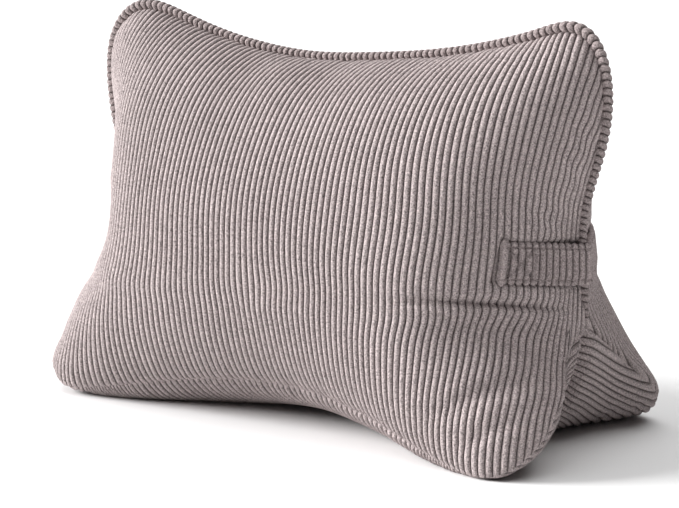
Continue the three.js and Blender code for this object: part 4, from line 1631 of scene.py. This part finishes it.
    def _net(self) -> Array:
        """Draws all lanes, and evens each along its length.

        Returns:
            The strap's inner side as a net of points.
        """
        normals = self.filled.normals()
        lanes = [self._lane(normals, share) for share in np.linspace(0, 1, self.lanes)]
        net = np.stack(lanes, 1)
        for _ in range(self.LANE_PASSES):
            net[1:-1] = (net[:-2] + 2 * net[1:-1] + net[2:]) / 4
        self.length = float(np.linalg.norm(np.diff(net[:, self.lanes // 2], axis=0), axis=1).sum())
        return net

    def _lane(self, normals: Array, share: float) -> Array:
        """Draws one lane tight, in the plane square to the end seam.

        The lane's height above the seam is, at each place from front to back, that of the highest
        straight line between any two points that it has to clear: the front, the back and a half
        circle about the welt.

        Args:
            normals: the cover's outward directions.
            share: 0 at the strap's lower edge and 1 at its upper edge.

        Returns:
            The lane's points at even steps, from the front to the back.
        """
        spans = (self.sewn_across, self.seam_across)
        start, seam = (low + (high - low) * share for low, high in spans)
        flat = self.filled.flat[Leaf.FRONT_TOP, -1]
        place = np.interp(seam, flat[:, 1], np.arange(self.filled.ROWS + 1))
        row = int(place)
        line = self.filled.net(Leaf.FRONT_TOP)[-1]
        facing = normals[self.filled.vertex[Leaf.FRONT_TOP, -1]]
        edge, outward = (of[row] + (of[row + 1] - of[row]) * (place - row) for of in (line, facing))
        tangent = unit(line[row + 1] - line[row])
        to_back = unit(np.cross(outward, tangent))
        to_back = to_back * np.sign(to_back[1])
        outward = unit(np.cross(to_back, tangent))
        outward = outward * np.sign(outward[0])
        axes = np.stack([to_back, outward, tangent])
        reach = float(np.interp(seam, flat[:, 1], flat[:, 0]))
        first = self.sewn_along + self.sewn_slant * (0.35 - share)
        part = np.arange(0, 1, self.sample_step / (reach - first))
        along = first + (reach - first) * part
        across = start + (seam - start) * part
        front = self._on_cover(normals, Leaf.FRONT_TOP, along, across)
        back = self._on_cover(normals, Leaf.BACK_TOP, along, across - self.back_drop * (1 - part))
        front, back = (front - edge) @ axes.T, (back - edge) @ axes.T
        turn = np.radians(np.arange(0, 181, 15))
        clear = self.welt.radius + self.welt_gap
        height = self.welt.radius + self.welt.gap + clear * np.sin(turn)
        round_welt = np.stack([-clear * np.cos(turn) - self.welt.forward, height, 0 * turn], -1)
        return self._taut([front, back, round_welt]) @ axes + edge

    def _taut(self, touched: list[Array]) -> Array:
        """Lays a line over what it touches: taut in front, and sinking into the hollow behind.

        Args:
            touched: points of a plane in front of, behind and round the welt.

        Returns:
            The line's points, at even steps of its length.
        """
        points = np.concatenate(touched)
        low, high = points[:, 0].min(), points[:, 0].max()
        turn = np.linspace(0, np.pi, self.LINE_SAMPLES)
        x = (low + high) / 2 - (high - low) / 2 * np.cos(turn)
        a, b = points[:, None, None], points[None, :, None]
        run = b[..., 0] - a[..., 0]
        share = (x - a[..., 0]) / np.where(np.abs(run) < 1e-6, 1e-6, run)
        crosses = (run > 1e-6) & (share >= -1e-9) & (share <= 1 + 1e-9)
        height = np.where(crosses, a[..., 1] + (b[..., 1] - a[..., 1]) * share, self.NO_HEIGHT)
        height = height.reshape(-1, len(x))
        depth = (a[..., 2] + (b[..., 2] - a[..., 2]) * share).reshape(-1, len(x))
        best = (height.argmax(0), np.arange(len(x)))
        taut = height[best]
        under = np.full_like(x, -np.inf)
        for chain in touched:
            chain = chain[np.argsort(chain[:, 0])]
            beyond = {"left": self.NO_HEIGHT, "right": self.NO_HEIGHT}
            under = np.maximum(under, np.interp(x, chain[:, 0], chain[:, 1], **beyond))
        hollow = np.clip(taut - under, 0, self.most_slack) * ease(x, *self.SINK_FROM)
        soft = np.hanning(self.SMOOTHING)
        slack = (1 - self.hug) * np.convolve(hollow, soft / soft.sum(), "same")
        line = np.stack([x, taut - slack, depth[best]], -1)
        lengths = lengths_along(line[:, :2])
        wanted = np.linspace(0, lengths[-1], self.steps + 1)
        return np.stack([np.interp(wanted, lengths, line[:, k]) for k in range(3)], -1)

    def _on_cover(self, normals: Array, leaf: Leaf, along: Array, across: Array) -> Array:
        """Finds points a small gap above the cover.

        Args:
            normals: the cover's outward directions.
            leaf: the leaf that the points are on.
            along: distances from the middle of the pillow on the flat cloth.
            across: distances from the waist row on the flat cloth.

        Returns:
            The points.
        """
        flat, vertex = self.filled.flat[leaf], self.filled.vertex[leaf]
        near, far = slice(None, -1), slice(1, None)
        corners = ((near, near), (far, near), (far, far), (near, far))
        wanted = np.stack([along, across], -1)[None]
        column = np.arange(len(along))
        worst_of, points_of = [], []
        for triple in ((0, 1, 2), (0, 2, 3)):
            a, b, c = (flat[corners[k]].reshape(-1, 1, 2) for k in triple)
            area = np.cross(b - a, c - a)
            area = np.where(np.abs(area) < 1e-9, np.inf, area)
            u = np.cross(wanted - a, c - a) / area
            v = np.cross(b - a, wanted - a) / area
            weights = np.stack([1 - u - v, u, v], -1)
            worst = np.where(np.isinf(area), -np.inf, weights.min(-1))
            chosen = worst.argmax(0)
            ids = np.stack([vertex[corners[k]].ravel()[chosen] for k in triple], -1)
            share = weights[chosen, column][..., None]
            normal = unit((normals[ids] * share).sum(1))
            points_of.append((self.filled.position[ids] * share).sum(1) + normal * self.gap)
            worst_of.append(worst[chosen, column])
        first = (worst_of[0] >= worst_of[1])[:, None]
        return np.where(first, points_of[0], points_of[1])

    def _surface(self, along: Array, across: Array) -> tuple[Array, Array, Array]:
        """Evaluates the strap's inner side.

        Args:
            along: distance along the strap.
            across: distance across it.

        Returns:
            Points, directions away from the pillow, and directions across the strap.
        """
        step, lane = self.steps / self.length, (self.lanes - 1) / self.width
        i, j = along * step + 0 * across, across * lane + 0 * along
        place = spline_surface(self.net, i, j)
        ahead = spline_surface(self.net, np.minimum(i + 0.5, self.steps), j)
        ahead = ahead - spline_surface(self.net, np.maximum(i - 0.5, 0), j)
        aside = spline_surface(self.net, i, np.minimum(j + 0.2, self.lanes - 1))
        sideways = unit(aside - spline_surface(self.net, i, np.maximum(j - 0.2, 0)))
        normal = unit(np.cross(ahead, sideways))
        return place, normal, sideways

    def _stitches(self) -> bpy.types.Object:
        """Makes the stitches along both edges, round the box and over its cross.

        Returns:
            The stitches' object.
        """
        inset, far = self.seam_inset, self.width - self.seam_inset
        start, end = self.box_start, self.box_start + self.box_length
        last = self.length - self.box_start
        lines = [
            ((start, inset), (last, inset)),
            ((start, far), (last, far)),
            ((start, inset), (start, far)),
            ((end, inset), (end, far)),
            ((start, inset), (end, far)),
            ((start, far), (end, inset)),
        ]
        spots = [Thread().spaced(np.array(a), np.array(b)) for a, b in lines]
        first, second = (np.concatenate(side) for side in zip(*spots))
        ends = []
        for spot in (first, second):
            place, normal, _ = self._surface(*spot.T)
            relief = self._relief(*spot.T)
            ends.append(place + normal * (self.thickness + relief + Thread.LIFT)[:, None])
        middle = (first + second) / 2
        normal = self._surface(*middle.T)[1]
        return Thread().sew("strap_stitches", ends[0], ends[1], normal)


@dataclass(frozen=True)
class Thread:
    """The sewing thread, and the stitches that it makes."""

    # A stitch's rings: their places from 0 to 1, and their share of its radius. LIFT is how far
    # its ends stand off the cloth.
    RINGS = (0, 0.02, 0.2, 0.5, 0.8, 0.98, 1)
    RING_SIZES = (0, 0.7, 1, 1, 1, 0.7, 0)
    LIFT = 0.12

    radius: float = 0.3
    stitch: float = 2.7
    pitch: float = 3.3
    sides: int = 6

    def spaced(self, start: Array, end: Array) -> tuple[Array, Array]:
        """Spaces stitches along a straight line.

        Args:
            start: the line's start.
            end: its end.

        Returns:
            Where each stitch starts and ends.
        """
        run = end - start
        length = float(np.linalg.norm(run))
        count = max(int(length / self.pitch), 1)
        at = ((np.arange(count) + 0.5) / count)[:, None]
        half = run / length * self.stitch / 2
        return start + run * at - half, start + run * at + half

    def sew(self, name: str, first: Array, second: Array, normal: Array) -> bpy.types.Object:
        """Makes stitches: each is a round thread that dips into the cloth at both its ends.

        Args:
            name: name of the object.
            first: where each stitch starts.
            second: where each stitch ends.
            normal: direction away from the cloth at each stitch.

        Returns:
            The stitches' object.
        """
        share = np.array(self.RINGS)[None, :, None]
        size = self.radius * np.array(self.RING_SIZES)
        arch = (1 - (2 * share - 1) ** 4) * self.radius
        centre = first[:, None] * (1 - share) + second[:, None] * share + arch * normal[:, None]
        aside = np.cross(unit(second - first), normal)
        angle = np.linspace(0, 2 * np.pi, self.sides, endpoint=False)[None, :, None]
        spoke = aside[:, None] * np.cos(angle) + normal[:, None] * np.sin(angle)
        points = centre[:, :, None] + spoke[:, None] * size[None, :, None, None]
        faces = grid_faces(share.shape[1], self.sides, closed=True)
        each = points.shape[1] * points.shape[2]
        faces = (faces[None] + each * np.arange(len(first))[:, None, None]).reshape(-1, 4)
        cloth = np.zeros((points[..., 0].size, 2))
        return ClothMesh(name, [Patch(points.reshape(-1, 3), faces[:, ::-1], cloth)]).object


# ---- shader nodes
Inputs = dict[str | int, object]


class Wire:
    """A node's output socket; arithmetic on it adds Math nodes."""

    def __init__(self, maker: "NodeMaker", socket: bpy.types.NodeSocket) -> None:
        """Wraps a socket of the maker's tree."""
        self.maker = maker
        self.socket = socket

    def __add__(self, other: "Wire | float") -> "Wire":
        """Returns the sum."""
        return self.maker.math("ADD", self, other)

    def __sub__(self, other: "Wire | float") -> "Wire":
        """Returns the difference."""
        return self.maker.math("SUBTRACT", self, other)

    def __mul__(self, other: "Wire | float") -> "Wire":
        """Returns the product."""
        return self.maker.math("MULTIPLY", self, other)

    def __pow__(self, other: float) -> "Wire":
        """Returns the power."""
        return self.maker.math("POWER", self, other)

    def fraction(self) -> "Wire":
        """Returns the part after the decimal point."""
        return self.maker.math("FRACT", self)

    def size(self) -> "Wire":
        """Returns the value without its sign."""
        return self.maker.math("ABSOLUTE", self)


class NodeMaker:
    """Adds nodes to a tree."""

    # The noises' roughness, and a Mix node's numbers for its two colours and their mix.
    ROUGHNESS = 0.55
    FIRST_COLOUR, SECOND_COLOUR, MIXED = 6, 7, 2

    def __init__(self, tree: bpy.types.NodeTree) -> None:
        """Empties the tree."""
        self.tree = tree
        tree.nodes.clear()

    def node(self, kind: str, inputs: Inputs | None = None, **settings: object) -> bpy.types.Node:
        """Adds a node.

        Args:
            kind: the node's type.
            inputs: values or links of its sockets, by name or number.
            settings: its properties, set first.

        Returns:
            The node.
        """
        node = self.tree.nodes.new(kind)
        for name, value in settings.items():
            setattr(node, name, value)
        for name, value in (inputs or {}).items():
            socket = node.inputs[name]
            if isinstance(value, Wire):
                self.tree.links.new(value.socket, socket)
            elif isinstance(value, bpy.types.NodeSocket):
                self.tree.links.new(value, socket)
            else:
                socket.default_value = value
        return node

    def math(self, operation: str, *values: "Wire | float") -> Wire:
        """Returns the result of a Math node."""
        node = self.node("ShaderNodeMath", dict(enumerate(values)), operation=operation)
        return Wire(self, node.outputs[0])

    def clamped(self, value: Wire) -> Wire:
        """Returns a value held between 0 and 1."""
        return self.math("MINIMUM", self.math("MAXIMUM", value, 0.0), 1.0)

    def noise(self, coordinates: bpy.types.NodeSocket, scale: float, detail: float) -> Wire:
        """Adds a noise.

        Args:
            coordinates: where it is taken.
            scale: its fineness.
            detail: its octaves.

        Returns:
            The noise, from 0 to 1 and mostly near 0.5.
        """
        inputs = {"Scale": scale, "Detail": detail, "Roughness": self.ROUGHNESS}
        noise = self.node("ShaderNodeTexNoise", {"Vector": coordinates, **inputs})
        return Wire(self, noise.outputs["Fac"])

    def mix(
        self, blend: str, factor: "Wire | float", first: object, second: object
    ) -> bpy.types.NodeSocket:
        """Mixes two colours.

        Args:
            blend: the way they mix.
            factor: how far.
            first: the lower colour.
            second: the upper one.

        Returns:
            The mix.
        """
        inputs = {0: factor, self.FIRST_COLOUR: first, self.SECOND_COLOUR: second}
        settings = {"data_type": "RGBA", "blend_type": blend, "clamp_factor": True}
        return self.node("ShaderNodeMix", inputs, **settings).outputs[self.MIXED]

    def grey(self, value: Wire) -> bpy.types.NodeSocket:
        """Returns a value as a grey colour."""
        return self.node("ShaderNodeCombineColor", dict.fromkeys(range(3), value)).outputs[0]

    def surface(self, inputs: Inputs) -> None:
        """Ends a material with its surface shader, with the given inputs."""
        shader = self.node("ShaderNodeBsdfPrincipled", inputs)
        self.node("ShaderNodeOutputMaterial", {"Surface": shader.outputs[0]})


@dataclass(frozen=True)
class Finish:
    """A material that covers a piece."""

    name: str

    def material(self) -> bpy.types.Material:
        """Makes the material.

        Returns:
            The material.
        """
        material = bpy.data.materials.new(self.name)
        material.use_nodes = True
        make = NodeMaker(material.node_tree)
        make.surface(self.look(make))
        return material

    def look(self, make: NodeMaker) -> Inputs:
        """Returns the surface shader's inputs."""
        raise NotImplementedError


@dataclass(frozen=True)
class CorduroyFinish(Finish):
    """Brushed corduroy: bright pile on the ribs, and near-black grooves between them as painted
    shade.
    """

    crest: tuple[float, float, float]
    # Painted shade: the grooves' colour is near black to stand for the shadow in them, and the
    # power below sets how closely that colour keeps to them.
    groove: tuple[float, float, float] = (0.05, 0.037, 0.035)
    groove_shade_power: float = 4.0
    # Fineness of the pile's tufts, of its streaks and of the soft shading.
    tuft_scale: float = 900.0
    streak_scale: float = 420.0
    broad_scale: float = 14.0
    # How far the streaks fray the grooves' edges, and how much each kind of noise shades.
    fraying: float = 0.22
    pile: float = 2.0
    streaks: float = 0.5
    # Painted light and shade: one flank of every rib is painted lighter and the other darker, as
    # the light falls from one side.
    flank_shade: float = 0.2
    shade: float = 0.25
    fuzz_height: float = 0.0016

    def look(self, make: NodeMaker) -> Inputs:
        """Works out the corduroy's look.

        The cloth's map tells how far a point is from its groove; the grooves are coloured near
        black as painted shade, and one flank of each rib is painted lighter than the other as
        painted light and shade. Fine noise makes the pile's tufts, coarser noise along the ribs its
        brushed streaks, and broad noise its soft shading.

        Args:
            make: the maker of the material's nodes.

        Returns:
            The surface shader's inputs.
        """
        cloth = make.node("ShaderNodeUVMap", uv_map="cloth").outputs[0]
        place = make.node("ShaderNodeTexCoord").outputs["Object"]
        split = make.node("ShaderNodeSeparateXYZ", {0: cloth})
        slope = Wire(make, split.outputs[0]).fraction() * 2 - 1
        tufts = make.noise(place, self.tuft_scale, 1.0)
        streaks = make.noise(place, self.streak_scale, 2.0)
        broad = make.noise(place, self.broad_scale, 2.0)
        edge = slope.size() + (streaks - 0.5) * self.fraying
        # Painted shade: the grooves are coloured near black to stand for the shadow that falls in
        # them.
        groove_shade_share = make.clamped(edge) ** self.groove_shade_power
        colour = make.mix("MIX", groove_shade_share, (*self.crest, 1), (*self.groove, 1))
        # Painted light and shade: the slope term lightens one flank of each rib and darkens the
        # other.
        tone = (tufts - 0.5) * self.pile + (streaks - 0.5) * self.streaks - slope * self.flank_shade
        tone = tone + (broad - 0.5) * self.shade + 1
        height = tufts * 0.8 + streaks * 0.3
        fuzz = {"Strength": 1.0, "Distance": self.fuzz_height, "Height": height}
        return {
            "Base Color": make.mix("MULTIPLY", 1.0, colour, make.grey(tone)),
            "Roughness": 0.92,
            "Specular IOR Level": 0.2,
            "Sheen Weight": 0.25,
            "Sheen Roughness": 0.45,
            "Sheen Tint": (*self.crest, 1),
            "Normal": make.node("ShaderNodeBump", fuzz).outputs[0],
        }


@dataclass(frozen=True)
class ThreadFinish(Finish):
    """Matt sewing thread."""

    colour: tuple[float, float, float]
    ply_scale: float = 2400.0

    def look(self, make: NodeMaker) -> Inputs:
        """Works out the thread's look, with its ply as a fine noise.

        Args:
            make: the maker of the material's nodes.

        Returns:
            The surface shader's inputs.
        """
        place = make.node("ShaderNodeTexCoord").outputs["Object"]
        ply = make.noise(place, self.ply_scale, 1.0)
        colour = make.mix("MULTIPLY", 1.0, (*self.colour, 1), make.grey(ply * 0.5 + 0.75))
        bump = make.node("ShaderNodeBump", {"Strength": 0.4, "Distance": 0.0002, "Height": ply})
        return {"Base Color": colour, "Roughness": 0.7, "Normal": bump.outputs[0]}


@dataclass(frozen=True)
class PaperFinish(Finish):
    """The floor's matt grey paper."""

    tone: float

    def look(self, make: NodeMaker) -> Inputs:
        """Returns the surface shader's inputs, for the maker of the material's nodes."""
        colour = (self.tone, self.tone, self.tone, 1)
        return {"Base Color": colour, "Roughness": 1.0, "Specular IOR Level": 0.0}


# ---- studio
@dataclass
class Studio:
    """The pale floor, the soft light and the camera.

    The surround lights the pillow from the left more than from the right, and is white to the
    camera. A sun's spread is its angle in radians; eye is in metres and the turns are in radians.
    """

    floor_size: float = 60.0
    floor_tone: float = 0.9
    surround_left: float = 0.2
    surround_right: float = 0.01
    key_strength: float = 5.3
    key_spread: float = 0.5
    key_from: tuple[float, float, float] = (-0.82, -0.48, 0.41)
    top_strength: float = 2.2
    top_spread: float = 1.4
    top_from: tuple[float, float, float] = (-0.1, 0.1, 1.0)
    eye: tuple[float, float, float] = (0.864483, -1.31226, 0.387953)
    yaw: float = -0.584539
    pitch: float = -0.167107
    roll: float = 0.023714
    lens: float = 106.27
    sensor_width: float = 36.0
    sight: float = 200.0

    def build(self) -> None:
        """Sets up the floor, the lights and the camera."""
        self._floor()
        self._lights()
        self._camera()

    def _floor(self) -> None:
        """Lays a square floor at height 0."""
        half = self.floor_size / 2
        mesh = bpy.data.meshes.new("floor")
        corners = [(-half, -half, 0), (half, -half, 0), (half, half, 0), (-half, half, 0)]
        mesh.from_pydata(corners, [], [(0, 1, 2, 3)])
        floor = bpy.data.objects.new("floor", mesh)
        bpy.context.collection.objects.link(floor)
        mesh.materials.append(PaperFinish("floor_paper", self.floor_tone).material())

    def _lights(self) -> None:
        """Sets the surround, a key light from the left and a broad light from above."""
        world = bpy.data.worlds.new("studio")
        bpy.context.scene.world = world
        world.use_nodes = True
        make = NodeMaker(world.node_tree)
        way = make.node("ShaderNodeTexCoord").outputs["Generated"]
        across = Wire(make, make.node("ShaderNodeSeparateXYZ", {0: way}).outputs[0])
        strengths = (self.surround_left, self.surround_right, 1.0)
        looks = [{"Color": (1, 1, 1, 1), "Strength": strength} for strength in strengths]
        left, right, white = (make.node("ShaderNodeBackground", look).outputs[0] for look in looks)
        to_right = make.clamped(across * 0.5 + 0.5)
        light = make.node("ShaderNodeMixShader", {0: to_right, 1: left, 2: right}).outputs[0]
        seen = make.node("ShaderNodeLightPath").outputs["Is Camera Ray"]
        shown = make.node("ShaderNodeMixShader", {0: seen, 1: light, 2: white}).outputs[0]
        make.node("ShaderNodeOutputWorld", {"Surface": shown})
        self._sun("key", self.key_strength, self.key_spread, self.key_from)
        self._sun("top", self.top_strength, self.top_spread, self.top_from)
        bpy.context.scene.view_settings.view_transform = "Standard"

    def _sun(
        self, name: str, strength: float, spread: float, start: tuple[float, float, float]
    ) -> None:
        """Adds a far light.

        Args:
            name: its name.
            strength: its power.
            spread: the angle it fills, in radians.
            start: the direction it shines from.
        """
        light = bpy.data.lights.new(name, "SUN")
        light.energy = strength
        light.angle = spread
        lamp = bpy.data.objects.new(name, light)
        lamp.matrix_world = Vector(start).to_track_quat("Z", "Y").to_matrix().to_4x4()
        bpy.context.collection.objects.link(lamp)

    def _camera(self) -> None:
        """Places the camera by its eye point and its three turns."""
        cos_p, sin_p = math.cos(self.pitch), math.sin(self.pitch)
        ahead = Vector((cos_p * math.sin(self.yaw), cos_p * math.cos(self.yaw), sin_p))
        level = Vector((math.cos(self.yaw), -math.sin(self.yaw), 0))
        upright = level.cross(ahead)
        right = level * math.cos(self.roll) + upright * math.sin(self.roll)
        up = upright * math.cos(self.roll) - level * math.sin(self.roll)
        data = bpy.data.cameras.new("camera")
        data.lens = self.lens
        data.sensor_width = self.sensor_width
        data.clip_end = self.sight
        camera = bpy.data.objects.new("camera", data)
        columns = Matrix((right, up, -ahead)).transposed()
        camera.matrix_world = Matrix.Translation(self.eye) @ columns.to_4x4()
        bpy.context.collection.objects.link(camera)
        bpy.context.scene.camera = camera


# ---- the whole pillow
COVER_CLOTH = CorduroyFinish("cover_corduroy", (0.455, 0.388, 0.384))
# Painted shade: the welt and the strap are of the cover's corduroy, and they get darker copies of
# its colour to stand for the shade that they lie in.
WELT_CLOTH_PAINTED_SHADE = CorduroyFinish("welt_corduroy_painted_shade", (0.37, 0.31, 0.306))
STRAP_CLOTH_PAINTED_SHADE = CorduroyFinish("strap_corduroy_painted_shade", (0.39, 0.329, 0.326))
SEWING_THREAD = ThreadFinish("sewing_thread", (0.31, 0.255, 0.25))


def attach(piece: bpy.types.Object, finish: Finish) -> None:
    """Gives a piece its finish, and lets it ride with the pillow.

    Args:
        piece: the piece.
        finish: its finish.
    """
    piece.data.materials.append(finish.material())
    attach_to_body(piece, "root")
    LOG.info("%s: %d vertices", piece.name, len(piece.data.vertices))


def main() -> None:
    """Builds the pillow and its studio."""
    logging.basicConfig(level=logging.INFO, format="%(name)s: %(message)s")
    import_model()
    Studio().build()
    filled = FilledCover(Cut(), Filling()).fill()
    welt = Welt(filled)
    handle = StrapHandle(filled, welt)
    cover_piece = CorduroyCover(filled, handle).build()
    attach(cover_piece, COVER_CLOTH)
    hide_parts("cushion")
    welt_piece = welt.build()
    attach(welt_piece, WELT_CLOTH_PAINTED_SHADE)
    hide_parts("welt")
    strap_piece, stitches = handle.build()
    attach(strap_piece, STRAP_CLOTH_PAINTED_SHADE)
    attach(stitches, SEWING_THREAD)
    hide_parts("handle")


if __name__ == "__main__":
    main()
